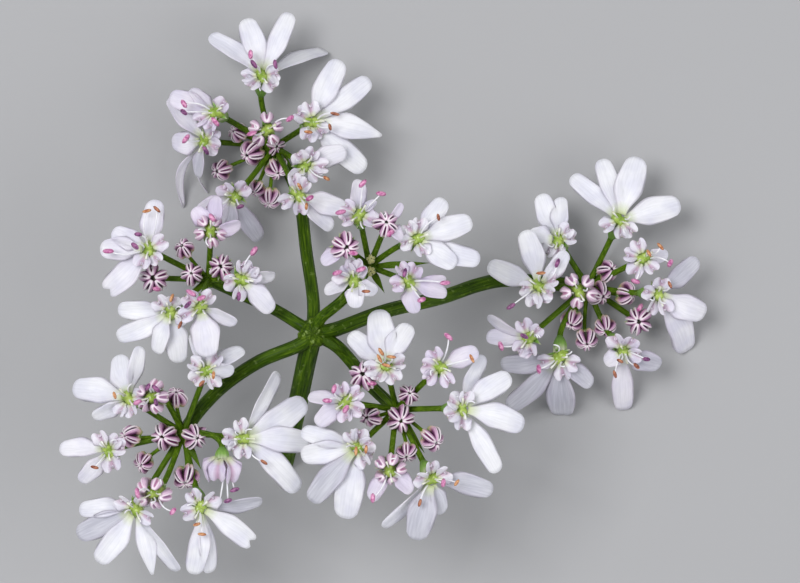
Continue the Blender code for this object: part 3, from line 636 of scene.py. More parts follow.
def petal(shape, root, tip, up, width, form, tone, finish, roll=0.0, bend=0.0):
    """A thin closed petal from its root to its tip.

    It is cupped across, arched along, folded down its middle and rolled about its length.
    """
    length = np.linalg.norm(tip - root)
    ahead = (tip - root) / length
    side = unit(np.cross(ahead, up))
    up = np.cross(side, ahead)
    rolled_side = side * math.cos(roll) + up * math.sin(roll)
    rolled_up = up * math.cos(roll) - side * math.sin(roll)
    share = np.linspace(0, 1, form["rows"])[:, None]
    across = np.linspace(-1, 1, form["columns"])[None, :]
    widest = form["widest"] * (1 + form["skew"] * (tone % 1 - 0.5) * across)
    rising = np.clip(share / widest, 0, 1)
    falling = np.clip((share - widest) / (1 - widest), 0, 1)
    wide = form["base"] + (1 - form["base"]) * rising**2 * (3 - 2 * rising)
    wide = wide * (1 - (1 - form["taper"]) * falling**2)
    half = width / 2 * wide
    fall = 1 - np.sqrt(1 - 0.999 * np.abs(across) ** END_POWER)
    round_end = form["rounding"] * (width / 2 / length) * fall
    notch = form["notch"] * np.exp(-((across / NOTCH_SPREAD) ** 2))
    reach = share * (1 - round_end - notch * share)
    cup = half * (form["cup"] * across**2 + form["fold"] * (1 - np.exp(-((across / FOLD_SPREAD) ** 2))))
    waves = sum(speed * way for speed, way in zip(RIPPLE_TURNS, (share, tone % 1, across)))
    ripple = RIPPLE * half * np.abs(across) ** 3 * np.sin(waves)
    lift = form["arch"] * length * np.sin(np.pi * share) + form["hook"] * length * reach**4
    sway = bend * length * np.sin(np.pi * share)
    forward = reach * length - form["hook"] * HOOK_PULL * length * reach**5
    middle = (
        root
        + forward[..., None] * ahead
        + (half * across)[..., None] * rolled_side
        + (cup + ripple)[..., None] * rolled_up
        + (lift + 0 * across)[..., None] * up
        + (sway + 0 * across)[..., None] * side
    )
    skin = PETAL_THICKNESS / 2 * (1 - EDGE_THINNING * across**4) * (1 - TIP_THINNING * share**3)
    top = middle + skin[..., None] * rolled_up
    under = middle - skin[..., None] * rolled_up
    rings = np.concatenate([top, under[:, -2:0:-1]], axis=1)
    rings[..., 2] += np.maximum(0, FLOOR_GAP - rings[..., 2].min(axis=1))[:, None]
    spread = np.concatenate([across[0], across[0, -2:0:-1]])
    shape.loft(rings, share, spread, tone, finish, "seam")


def facing(umbel, x, y, lean):
    """The direction that a bloom faces."""
    if isinstance(lean, tuple):
        return unit(vector(*lean, 1))
    knot = np.array(umbel["ray"][-1], float)
    outward = vector(x - knot[0], y - knot[1], 0)
    if np.linalg.norm(outward) > 0:
        outward = unit(outward)
    return unit(outward * lean + UP)


def on_face(middle, normal, dx, dy):
    """The point of a bloom's plane that lies at dx, dy from its middle as seen from above."""
    return middle + vector(dx, dy, -(normal[0] * dx + normal[1] * dy) / normal[2])


def open_turns(taken, count):
    """Directions spread over the widest gaps between those that are taken."""
    turns = sorted(taken)
    found = []
    for _ in range(count):
        if not turns:
            turns = [FIRST_TURN]
            found.append(FIRST_TURN)
            continue
        following = [*turns[1:], turns[0] + FULL_TURN]
        gap, start = max((b - a, a) for a, b in zip(turns, following))
        new = (start + gap / 2) % FULL_TURN
        found.append(new)
        turns = sorted([*turns, new])
    return found


def stamen(shape, middle, normal, dx, dy, colour, length, chance):
    """A white thread from the bloom's middle, with a two-lobed anther unless it has dropped."""
    flat = math.hypot(dx, dy)
    length = max(length, flat / FILAMENT_REACH)
    rise = math.sqrt(length**2 - flat**2) * STAMEN_RISE
    outward = unit(vector(dx, dy, 0))
    start = middle + outward * STAMEN_FOOT - normal * 0.1
    end = middle + vector(dx, dy, rise)
    centre = (start + end) / 2
    aside = vector(-outward[1], outward[0], 0) * chance.uniform(-0.25, 0.25)
    route = curve(start, centre + 2 * (UP * STAMEN_BOW * rise + aside), end, STAMEN_STEPS)
    radii = np.linspace(FILAMENT_RADIUS * 1.3, FILAMENT_RADIUS * 0.75, STAMEN_STEPS)
    tube(shape, route, radii, THREAD_SIDES, chance.random(), FILAMENT)
    if colour:
        turn = chance.uniform(0, math.pi)
        axis = unit(vector(math.cos(turn), math.sin(turn), chance.uniform(-0.3, 0.3)))
        anther(shape, end, axis, colour, chance)


def anther(shape, middle, axis, colour, chance):
    """Two pollen sacs side by side, with a furrow between them."""
    turn = FULL_TURN * np.arange(ANTHER_SIDES) / ANTHER_SIDES
    waist = 1 + ANTHER_WAIST * np.cos(2 * turn)
    side = sideways(axis)
    circle = np.outer(np.cos(turn) * waist * ANTHER_BREADTH, side)
    circle += np.outer(np.sin(turn) * waist, np.cross(axis, side))
    length, thickness = ANTHER_SIZES[colour]
    length *= chance.uniform(0.85, 1.15)
    shares = np.linspace(-1, 1, ANTHER_ROWS)
    rings = []
    for share in shares:
        radius = thickness * max(0.12, math.sqrt(1 - share**2 * 0.98)) ** 0.8
        rings.append(middle + axis * (share * length / 2) + circle * radius)
    ends = np.abs(shares)[:, None]
    shape.loft(np.array(rings), ends, turn / FULL_TURN, chance.random(), ANTHERS[colour], "flat")


def disc(shape, middle, normal, chance):
    """The two yellow-green cushions in a bloom's middle, each with its style."""
    across = around(normal, chance.uniform(0, math.pi))
    turns = np.linspace(0, DISC_TURN, DISC_ROWS)
    radii = DISC_RADIUS * np.cos(turns) ** DISC_ROUNDING
    dome = list(zip(DISC_HEIGHT * np.sin(turns), radii))
    for sign in (-1, 1):
        foot = middle + across * (sign * DISC_SPREAD) - normal * DISC_SINK
        turned(shape, foot, normal, dome, DISC_SIDES, chance.random(), DISC, DISC_RIBS, DISC_RIB_DEPTH)
        start = middle + across * (sign * STYLE_PLACE) + normal * DISC_TOP * 0.7
        end = start + unit(across * sign + normal * STYLE_RISE) * STYLE_LENGTH
        bow = (start + end) / 2 + normal * STYLE_BOW
        route = [start, (start + bow) / 2, bow, end]
        tube(shape, route, STYLE_RADII, THREAD_SIDES, chance.random(), STYLE)


def long_petals(shape, middle, normal, petals, chance):
    """The long petals of a bloom's outer side. A narrow one is seen rolled on its edge."""
    for number, (dx, dy, width, lift, *special) in enumerate(petals):
        layer = number % 3 - 1
        tip = on_face(middle, normal, dx, dy)
        if lift == LOW:
            tip[2] = RESTING_HEIGHT + chance.uniform(0, 0.1)
        else:
            tip = tip + normal * (PETAL_LAYER * layer) + UP * lift
        root = middle + unit(tip - middle) * PETAL_ROOT + normal * (PETAL_LAYER * layer)
        width *= PETAL_FULLNESS
        full = min(max(width, PETAL_FULL_WIDTH), PETAL_MOST_FULL * width)
        roll = math.acos(width / full) * (PETAL_ROLL if number % 2 else -PETAL_ROLL)
        bend = chance.uniform(-0.05, 0.05) + (CURVED_BEND if CURVED in special else 0)
        form = POINTED_FORM if POINTED in special else NOTCHED_FORM if NOTCHED in special else LONG_FORM
        form = {**form, "cup": chance.uniform(0.08, 0.32), "arch": chance.uniform(0.03, 0.1)}
        # A tone over one marks a petal in the shade, whose skin is painted grey as painted shade
        tone = chance.random() + (1 if SHADED in special else 0)
        petal(shape, root, tip, normal, full, form, tone, PETAL, roll, bend)


def short_petal(shape, middle, normal, dx, dy, layer, chance):
    """A short heart-shaped petal: two puffy lobes, a groove, and the tip between them turned in."""
    reach = max(SHORT_PETAL_LENGTH * chance.uniform(0.88, 1.05), math.hypot(dx, dy) * 1.05)
    heading = math.atan2(dy, dx) + chance.uniform(-0.1, 0.1)
    ahead = vector(math.cos(heading), math.sin(heading), 0)
    rise = SHORT_PETAL_RISE + chance.uniform(-0.15, 0.35)
    tip = on_face(middle, normal, reach * ahead[0], reach * ahead[1]) + normal * rise
    root = middle + unit(tip - middle) * SHORT_PETAL_ROOT + normal * layer
    width = SHORT_PETAL_WIDTH * chance.uniform(0.85, 1.15)
    roll = chance.uniform(-0.4, 0.4)
    petal(shape, root, tip, normal, width, SHORT_FORM, chance.random(), SHORT, roll)
    notch = root + (tip - root) * TONGUE_PLACE + normal * TONGUE_FOOT
    inner = notch - unit(tip - root) * TONGUE_LENGTH + normal * TONGUE_RISE
    petal(shape, notch, inner, normal, TONGUE_WIDTH, TONGUE_FORM, chance.random(), SHORT)


def short_petals(shape, middle, normal, petals, chance):
    """The short petals of a bloom's inner side."""
    for number, (dx, dy) in enumerate(petals):
        short_petal(shape, middle, normal, dx, dy, PETAL_LAYER * ((number + 1) % 2), chance)


# How far a folded petal stands out from its bloom's middle, where it starts to turn and where it
# ends, its half width and its depth, all as shares of the radius
CLOSED = (0.23, -1.25, 1.75, 0.43, 0.3)
LOOSE = (0.23, -1.2, 1.7, 0.48, 0.34)
SPREAD = (0.46, -1.1, 1.4, 0.54, 0.28)
FOLDED_ROWS = 15
FOLDED_COLUMNS = 17
FOLDED_HEIGHT = 0.8

# Shares of a folded petal: where its slot lies along it and its lips across it, their sizes, and
# the points across its back and the back's depth
SLOT_PLACE = 0.64
SLOT_LENGTH = 0.22
SLOT_WIDTH = 0.15
SLOT_DEPTH = 0.9
LIP_PLACE = 0.45
LIP_WIDTH = 0.28
LIP_HEIGHT = 0.42
BACK_PLACES = (0.9, 0.6, 0.3, 0.0, -0.3, -0.6, -0.9)
BACK_DEPTH = 0.8


def folded_petal(shape, centre, axis, outward, radius, stance, chance, finish):
    """A petal folded in on itself: it swings out and back over the middle, and has two puffy lips
    with a slot between them."""
    apart, first, last, breadth, depth = stance
    t = np.linspace(0, 1, FOLDED_ROWS)
    turn = first + (last - first) * t + chance.uniform(-0.15, 0.1)
    size = radius * chance.uniform(0.79, 0.99)
    out = size * (apart + 0.5 * np.cos(turn) + ELBOW * np.exp(-(((t - 0.5) / ELBOW_LENGTH) ** 2)))
    high = size * FOLDED_HEIGHT * np.sin(turn)
    aside = np.cross(axis, outward)
    spine = centre + out[:, None] * outward + high[:, None] * axis
    ahead = np.gradient(spine, axis=0)
    ahead /= np.linalg.norm(ahead, axis=1)[:, None]
    face = np.cross(ahead, aside)
    if np.dot(face[FOLDED_ROWS // 2], outward) < 0:
        face = -face
    bulge = np.sin(np.pi * (0.12 + 0.8 * t)) ** 0.7
    even = np.linspace(-1, 1, FOLDED_COLUMNS)
    front = np.sign(even) * np.abs(even) ** 1.5
    back = np.array(BACK_PLACES)
    slot = np.exp(-(((t - SLOT_PLACE) / SLOT_LENGTH) ** 4))[:, None]
    slot = slot * np.exp(-((front / SLOT_WIDTH) ** 2))[None, :]
    lips = LIP_HEIGHT * np.exp(-(((np.abs(front) - LIP_PLACE) / LIP_WIDTH) ** 2))[None, :]
    front_depth = (np.sqrt(1 - front**2)[None, :] + lips) * (1 - SLOT_DEPTH * slot)
    back_depth = -BACK_DEPTH * np.sqrt(1 - back**2)[None, :] * np.ones((FOLDED_ROWS, 1))
    thick = np.concatenate([front_depth, back_depth], axis=1)
    places = np.concatenate([front, back])[None, :]
    wide = (breadth * size * bulge)[:, None] * places
    deep = (depth * size * bulge)[:, None] * thick
    rings = spine[:, None, :] + wide[..., None] * aside + deep[..., None] * face[:, None, :]
    across = np.concatenate([np.abs(front), np.ones(len(back))])[None, :]
    shape.loft(rings, t[:, None], across, chance.random(), finish, "flat")


def folded_ring(shape, middle, axis, radius, stance, chance, finish):
    """Five folded petals round an axis. Gives back the turn of the first."""
    spin = chance.uniform(0, FULL_TURN)
    for i in range(RING_OF_FIVE):
        turn = spin + FULL_TURN * i / RING_OF_FIVE + chance.uniform(-0.12, 0.12)
        folded_petal(shape, middle, axis, around(axis, turn), radius, stance, chance, finish)
    return spin


def bloom(umbel, name, row, seed):
    """An open bloom: its petals as one piece, and its disc and stamens as another."""
    x, y, rise, lean, tint, long_ones, short_ones, stamens = row
    chance = random.Random(seed)
    middle = vector(x, y, umbel["level"] + rise)
    normal = facing(umbel, x, y, lean)
    petals = Shape()
    long_petals(petals, middle, normal, long_ones, chance)
    short_petals(petals, middle, normal, short_ones, chance)
    if not short_ones:
        folded_ring(petals, middle, normal, YOUNG_BLOOM_RADIUS, SPREAD, chance, FOLDED)
    made = petals.build(name, petal_finishes(tint, YOUNG_FINISH))
    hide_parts(name)
    heart = Shape()
    disc(heart, middle, normal, chance)
    for dx, dy, colour in stamens:
        stamen(heart, middle, normal, dx, dy, colour, FILAMENT_LENGTH, chance)
    taken = [math.atan2(dy, dx) for dx, dy, _ in stamens]
    for turn in open_turns(taken, max(0, STAMEN_COUNT - len(stamens))):
        flat = chance.uniform(*BARE_REACH)
        dx, dy = flat * math.cos(turn), flat * math.sin(turn)
        stamen(heart, middle, normal, dx, dy, None, BARE_FILAMENT_LENGTH, chance)
    heart.build(name + "_middle", HEART_MATERIALS)


def half_open(umbel, name, row, seed):
    """A bloom whose petals are still folded, apart from the first long ones, or hang as a bell."""
    x, y, rise, radius, opened = row
    chance = random.Random(seed)
    middle = vector(x, y, umbel["level"] + rise)
    petals = Shape()
    heart = Shape()
    if opened == HANGING:
        hanging_bell(petals, heart, middle, radius, chance)
    else:
        lean = unit(vector(chance.uniform(-0.3, 0.3), chance.uniform(-0.3, 0.3), 1))
        folded_ring(petals, middle, lean, radius, LOOSE, chance, FOLDED)
        long_petals(petals, middle, UP, opened, chance)
        for i in range(2):
            turn = chance.uniform(0, FULL_TURN)
            flat = radius * chance.uniform(0.7, 1.0)
            dx, dy = flat * math.cos(turn), flat * math.sin(turn)
            stamen(heart, middle, UP, dx, dy, "pink" if i else None, YOUNG_FILAMENT_LENGTH, chance)
    made = petals.build(name, petal_finishes(YOUNG_TINT, FOLDED_FINISH))
    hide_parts(name)
    heart.build(name + "_middle", HEART_MATERIALS)


def hanging_bell(petals, heart, middle, radius, chance):
    """A bloom that hangs towards the photograph's lower edge, its stamens out of its mouth."""
    axis = unit(vector(*BELL_AXIS))
    crown = middle - axis * BELL_CROWN + UP * 0.05
    for i in range(BELL_PETALS):
        outward = around(axis, FULL_TURN * i / BELL_PETALS + 0.3)
        root = crown + outward * 0.3 + axis * 0.05
        tip = crown + axis * (BELL_LENGTH + BELL_STAGGER * (i % 2)) + outward * (radius * BELL_MOUTH)
        petal(petals, root, tip, outward, BELL_PETAL_WIDTH, BELL_FORM, chance.random(), SHORT)
    start = crown + axis * 0.3
    for dx, dy, colour in BELL_STAMENS:
        end = middle + vector(dx, dy, -0.1)
        bow = (start + end) / 2 + vector(0.12, 0, 0.1)
        route = [start, (start + bow) / 2, bow, (bow + end) / 2, end]
        radii = [FILAMENT_RADIUS] * len(route)
        tube(heart, route, radii, THREAD_SIDES, BELL_THREAD_TONE, FILAMENT)
        if colour:
            anther(heart, end, unit(vector(1, 0.3, 0)), colour, chance)


def ovary(shape, rim, normal, length, chance):
    """The ribbed green ovary under a bloom, with its five teeth."""
    swell = OVARY_RADIUS - STALK_RADIUS
    profile = []
    for share in np.linspace(0, 1, OVARY_ROWS):
        swelling = swell * math.sin(0.5 * math.pi * min(1, share * 1.5))
        profile.append((share * length, STALK_RADIUS + swelling))
    foot = rim - normal * length
    turned(shape, foot, normal, profile, OVARY_SIDES, chance.random(), OVARY, OVARY_RIBS, RIB_DEPTH)
    for i in range(RING_OF_FIVE):
        outward = around(normal, FULL_TURN * (i + 0.3) / RING_OF_FIVE)
        root = rim + outward * (OVARY_RADIUS * TOOTH_PLACE) - normal * 0.05
        tip = root + unit(outward + normal * TOOTH_RISE) * TOOTH_LENGTH * chance.uniform(0.7, 1.2)
        petal(shape, root, tip, normal, TOOTH_WIDTH, TOOTH_FORM, chance.random(), OVARY)


def flower_stalk(shape, knot, middle, normal, length, chance):
    """A bloom's curved stalk, its ovary and its teeth."""
    rim = middle - normal * OVARY_TOP
    foot = rim - normal * length
    bend = foot - normal * (STALK_BEND * np.linalg.norm(foot - knot))
    route = curve(knot, bend, foot + normal * 0.1, STALK_STEPS)
    t = np.linspace(0, 1, STALK_STEPS)
    radii = STALK_RADIUS * (1 + 0.35 * np.exp(-10 * t) + 0.15 * np.exp(-12 * (1 - t)))
    tube(shape, route, radii, STALK_SIDES, chance.random(), STALK, STALK_RIBS, RIB_DEPTH)
    ovary(shape, rim, normal, length, chance)


def bud(shape, knot, middle, radius, chance):
    """A closed bud on its stalk, with the teeth round its foot."""
    tilt = vector(chance.uniform(-0.2, 0.2), chance.uniform(-0.2, 0.2), 0)
    axis = unit(unit(middle - knot) * 0.8 + UP * 0.7 + tilt)
    foot = middle - axis * radius * 0.9
    bend = foot - axis * (0.3 * np.linalg.norm(foot - knot))
    radii = STALK_RADIUS * (0.66 + 0.5 * np.exp(-8 * np.linspace(0, 1, BUD_STALK_STEPS)))
    route = curve(knot, bend, foot, BUD_STALK_STEPS)
    tube(shape, route, radii, STALK_SIDES, chance.random(), BUD_STALK, STALK_RIBS, RIB_DEPTH)
    spin = folded_ring(shape, middle, axis, radius, CLOSED, chance, BUD if radius > TINY_BUD else TINY)
    rim = middle - axis * radius * 0.5
    cup = [(0, 0.15), *((radius * share, radius * width) for share, width in BUD_CUP)]
    foot = middle - axis * radius * 1.02
    turned(shape, foot, axis, cup, BUD_SIDES, chance.random(), OVARY, OVARY_RIBS, BUD_CUP_RIB_DEPTH)
    for i in range(RING_OF_FIVE):
        outward = around(axis, spin + FULL_TURN * (i + 0.5) / RING_OF_FIVE)
        root = rim + outward * (radius * 0.55)
        tip = root + unit(outward * 0.5 + axis) * TOOTH_LENGTH * BUD_TOOTH_SHARE * radius
        petal(shape, root, tip, outward, BUD_TOOTH_WIDTH, TOOTH_FORM, chance.random(), OVARY)


def stalks(umbel, place, seed):
    """The green of one small umbel: the knot, the stalks with their ovaries, and the closed buds."""
    chance = random.Random(seed)
    shape = Shape()
    knot = np.array(umbel["ray"][-1], float)
    tone = chance.random()
    turned(shape, knot, UP, KNOT_PROFILE, KNOT_SIDES, tone, STALK, KNOT_RIBS, KNOT_RIB_DEPTH)
    for number, (x, y, rise, lean, _, long_ones, *_) in enumerate(umbel["blooms"], 1):
        middle = vector(x, y, umbel["level"] + rise)
        lean = OVARY_LEANS.get(f"{place}_bloom_{number}", OUTER_LEAN if long_ones else lean)
        flower_stalk(shape, knot, middle, facing(umbel, x, y, lean), OVARY_LENGTH, chance)
    for x, y, rise, _, opened in umbel["half_open"]:
        middle = vector(x, y, umbel["level"] + rise)
        normal = unit(vector(0, -1.0, 0.25)) if opened == HANGING else UP
        flower_stalk(shape, knot, middle, normal, YOUNG_OVARY_LENGTH, chance)
    for x, y, radius in umbel["buds"]:
        bud(shape, knot, vector(x, y, umbel["level"] - BUD_DEPTH - radius), radius, chance)
    for x, y in umbel["bracts"]:
        tip = vector(x, y, knot[2] + BRACT_RISE)
        root = knot + unit(tip - knot) * BRACT_ROOT
        petal(shape, root, tip, UP, BRACT_WIDTH, BRACT_FORM, chance.random(), STALK)
    made = shape.build(place + "_stalks", STALK_MATERIALS)
    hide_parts(place + "_stalks")


def hub(shape):
    """The lumpy knob that the stem and the rays part from."""
    turn = FULL_TURN * np.arange(HUB_SIDES)[None, :] / HUB_SIDES
    tilt = np.linspace(HUB_OPENING, np.pi - HUB_OPENING, HUB_ROWS)[:, None]
    broad, middling, fine = HUB_LUMPS
    lumps = 1 + broad * np.sin(3 * turn + 2 * tilt)
    lumps = lumps + middling * np.cos(7 * turn - 3 * tilt) * np.sin(tilt)
    lumps = lumps + fine * np.cos(13 * turn + 4 * tilt) * np.sin(7 * tilt)
    out = HUB_RADIUS * HUB_BREADTH * np.sin(tilt) * lumps
    height = -HUB_RADIUS * HUB_HEIGHT * np.cos(tilt) * lumps
    centre = np.array(STEM_ROUTE[0], float)
    rings = centre + np.stack([out * np.cos(turn), out * np.sin(turn), height], axis=-1)
    shape.loft(rings, tilt / np.pi, turn / FULL_TURN, KNOB_TONE, KNOB, "flat")


def stem_and_rays():
    """The cut stem, the knob on its end and the rays that part from it."""
    shape = Shape()
    hub(shape)
    route = smooth_route(STEM_ROUTE, STEM_STEPS)
    start = len(shape.points)
    radii = [STEM_RADIUS] * len(route)
    tube(shape, route, radii, STEM_SIDES, STEM_TONE, RAY, STEM_RIBS, STEM_RIB_DEPTH)
    ahead = unit(route[-1] - route[-2])
    skin = np.array(shape.points[start:])
    beyond = np.minimum(skin[:, 2], 0)
    beyond[-STEM_SIDES:] = skin[-STEM_SIDES:, 2]
    skin -= ahead * (beyond / ahead[2])[:, None]
    shape.points[start:] = skin.tolist()
    for number, umbel in enumerate(UMBELS.values()):
        points = smooth_route(umbel["ray"], RAY_STEPS)
        distance = np.array([np.linalg.norm(point - points[0]) for point in points])
        radii = umbel["ray_radius"] * (1 + RAY_FLARE * np.exp(-distance / RAY_FLARE_LENGTH))
        tube(shape, points, radii, RAY_SIDES, number / len(UMBELS), RAY, RAY_RIBS, RAY_RIB_DEPTH)
    root, tip = (vector(*point) for point in RAY_BRACT)
    petal(shape, root, tip, UP, BRACT_WIDTH, BRACT_FORM, BRACT_TONE, RAY)
    made = shape.build("stem_and_rays", STEM_MATERIALS)
    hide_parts("stem_and_rays")


class Nodes:
    """A material's node tree, with short calls for the nodes that it uses."""

    def __init__(self, name, roughness):
        self.material = bpy.data.materials.new(name)
        self.material.use_nodes = True
        self.tree = self.material.node_tree
        self.shader = self.tree.nodes["Principled BSDF"]
        self.shader.inputs["Roughness"].default_value = roughness

    def node(self, kind, **values):
        made = self.tree.nodes.new(kind)
        for key, value in values.items():
            setattr(made, key, value)
        return made

    def feed(self, value, target):
        """Sets a number or a colour on a socket, or links another node's output to it."""
        if isinstance(value, tuple):
            target.default_value = (*value, 1.0)
        elif isinstance(value, (int, float)):
            target.default_value = value
        else:
            self.tree.links.new(value, target)

    def attribute(self, name):
        return self.node("ShaderNodeAttribute", attribute_name=name).outputs["Fac"]

    def spread(self):
        """How far along and across its part a point lies, and the part's tone."""
        return self.attribute("along"), self.attribute("across"), self.attribute("tone")

    def noise(self, scale, detail=3.0, place=None):
        made = self.node("ShaderNodeTexNoise")
        made.inputs["Scale"].default_value = scale
        made.inputs["Detail"].default_value = detail
        if place is None:
            place = self.node("ShaderNodeTexCoord").outputs["Object"]
        self.feed(place, made.inputs["Vector"])
        return made.outputs["Fac"]

    def join(self, x, y, z):
        made = self.node("ShaderNodeCombineXYZ")
        for value, target in zip((x, y, z), made.inputs):
            self.feed(value, target)
        return made.outputs["Vector"]

    def math(self, operation, a, b=0.0):
        made = self.node("ShaderNodeMath", operation=operation)
        for value, target in zip((a, b), made.inputs):
            self.feed(value, target)
        return made.outputs["Value"]

    def times(self, a, b):
        return self.math("MULTIPLY", a, b)

    def ramp(self, source, stops):
        """A colour for each place on the way from 0 to 1. A single number stands for a grey."""
        made = self.node("ShaderNodeValToRGB")
        band = made.color_ramp
        while len(band.elements) < len(stops):
            band.elements.new(0.5)
        for element, (place, colour) in zip(band.elements, stops):
            element.position = place
            element.color = (*(colour if isinstance(colour, tuple) else (colour,) * 3), 1.0)
        self.feed(source, made.inputs["Fac"])
        return made.outputs["Color"]

    def mix(self, share, a, b, blend="MIX"):
        made = self.node("ShaderNodeMix", data_type="RGBA", blend_type=blend)
        for value, place in ((share, 0), (a, 6), (b, 7)):
            self.feed(value, made.inputs[place])
        return made.outputs[2]

    def colour(self, source):
        self.feed(source, self.shader.inputs["Base Color"])

    def rough(self, source):
        self.feed(source, self.shader.inputs["Roughness"])

    def bump(self, source, strength, distance):
        made = self.node("ShaderNodeBump")
        made.inputs["Strength"].default_value = strength
        made.inputs["Distance"].default_value = distance * MM
        self.feed(source, made.inputs["Height"])
        self.feed(made.outputs["Normal"], self.shader.inputs["Normal"])

    def soften(self, weight, radius):
        """Lets light pass a little way under the surface. Gives back the finished material."""
        self.shader.inputs["Subsurface Weight"].default_value = weight
        self.shader.inputs["Subsurface Radius"].default_value = (radius, radius, radius)
        self.shader.inputs["Subsurface Scale"].default_value = MM
        return self.material


def petal_skin(name, tint, short):
    """White to lilac petal skin, with fine veins along it and green at its root.

    A part whose tone is over one lies in the shade, and is painted greyer: painted shade. A short
    petal is pink in its groove, partly its own pink and partly painted shade. The edges are tinted
    purple: lilac that grows with the tint, and on white petals a little painted shade.
    """
    nodes = Nodes(name, 0.5)
    along, across, tone = nodes.spread()
    veins = nodes.noise(1.6, 2.0, nodes.join(nodes.times(across, 4.5), nodes.times(along, 1.5), tone))
    base = tuple(a + (b - a) * tint for a, b in zip(PETAL_WHITE, PETAL_LILAC))
    body = nodes.ramp(veins, [(0.38, tuple(value * VEIN_SHADE for value in base)), (0.6, base)])
    patches = nodes.ramp(nodes.noise(700.0, 2.0), [(0.35, PATCH_BLUE), (0.62, 1.0)])
    body = nodes.mix(0.9, body, patches, "MULTIPLY")
    # Painted shade: a petal in the shade, whose tone is over one, is painted grey
    painted_shade_grey = nodes.ramp(veins, [(0.35, PAINTED_SHADE_DARK), (0.7, PAINTED_SHADE_LIGHT)])
    body = nodes.mix(nodes.times(nodes.math("GREATER_THAN", tone, 1.0), 0.8), body, painted_shade_grey)
    from_middle = nodes.math("ABSOLUTE", across)
    if short:
        # The groove of a short petal is painted pink: its own pink in part, painted shade in the crease in
        # part
        body = nodes.mix(nodes.ramp(from_middle, [(0.05, 0.85), (0.5, 0.0)]), body, GROOVE_PINK_AND_SHADE)
    # The edges: lilac by the tint, and a fixed share that is painted shade even on white petals
    edge = nodes.times(nodes.math("POWER", from_middle, 4.0), 0.14 + 0.4 * tint)
    body = nodes.mix(edge, body, EDGE_PURPLE_AND_SHADE)
    streaks = nodes.times(nodes.math("GREATER_THAN", veins, 0.56), 0.0 if short else 0.35)
    streaks = nodes.times(streaks, nodes.ramp(along, [(0.1, 1.0), (0.36, 0.0)]))
    body = nodes.mix(streaks, body, STREAK_GREY)
    root = nodes.ramp(along, [(0.0, 0.9), (0.34 if short else 0.22, 0.0)])
    nodes.colour(nodes.mix(root, body, ROOT_GREEN))
    nodes.rough(nodes.ramp(veins, [(0.3, 0.42), (0.7, 0.6)]))
    nodes.bump(veins, 0.25, 0.04)
    nodes.shader.inputs["Sheen Weight"].default_value = 0.1
    return nodes.soften(0.35, 0.5)


petal_skins = {}


def petal_finishes(tint, folded):
    """The finishes of one bloom's long, folded and short petals. Each tint's skins are made once."""
    if tint not in petal_skins:
        percent = round(tint * 100)
        petal_skins[tint] = (
            petal_skin(f"long_petal_{percent}", tint, False),
            petal_skin(f"short_petal_{percent}", min(1.0, tint + SHORT_TINT), True),
        )
    long_skin, short_skin = petal_skins[tint]
    return [long_skin, folded, short_skin]


def green_skin(name, dark, middle, light, speck):
    """Green skin with paler streaks along it and small spots."""
    nodes = Nodes(name, 0.5)
    along, across, tone = nodes.spread()
    streaks = nodes.noise(2.0, 3.0, nodes.join(nodes.times(across, 12.0), nodes.times(along, 5.0), tone))
    spots = nodes.noise(1500.0, 4.0)
    body = nodes.ramp(streaks, [(0.3, dark), (0.52, middle), (0.75, light)])
    mottled = nodes.ramp(spots, [(0.3, (0.65, 0.7, 0.5)), (0.7, (1.2, 1.15, 1.0))])
    body = nodes.mix(0.8, body, mottled, "MULTIPLY")
    specks = nodes.ramp(nodes.noise(3200.0, 2.0), [(0.62, 0.0), (0.72, 1.0)])
    nodes.colour(nodes.mix(nodes.times(specks, speck), body, SPECK_GREEN))
    nodes.rough(nodes.ramp(spots, [(0.3, 0.38), (0.7, 0.6)]))
    nodes.bump(streaks, 0.4, 0.06)
    nodes.shader.inputs["Specular IOR Level"].default_value = 0.12
    return nodes.soften(0.05, 0.3)


def ovary_finish():
    """Green that grows paler along each part, almost white at the teeth's ends."""
    nodes = Nodes("ovary_green", 0.45)
    spots = nodes.noise(2500.0)
    stops = [(0.0, (0.1, 0.22, 0.025)), (0.6, (0.2, 0.36, 0.07)), (1.0, (0.5, 0.5, 0.38))]
    body = nodes.ramp(nodes.attribute("along"), stops)
    mottled = nodes.ramp(spots, [(0.3, (0.75, 0.8, 0.7)), (0.7, 1.1)])
    nodes.colour(nodes.mix(0.8, body, mottled, "MULTIPLY"))
    nodes.bump(spots, 0.3, 0.05)
    return nodes.soften(0.1, 0.3)


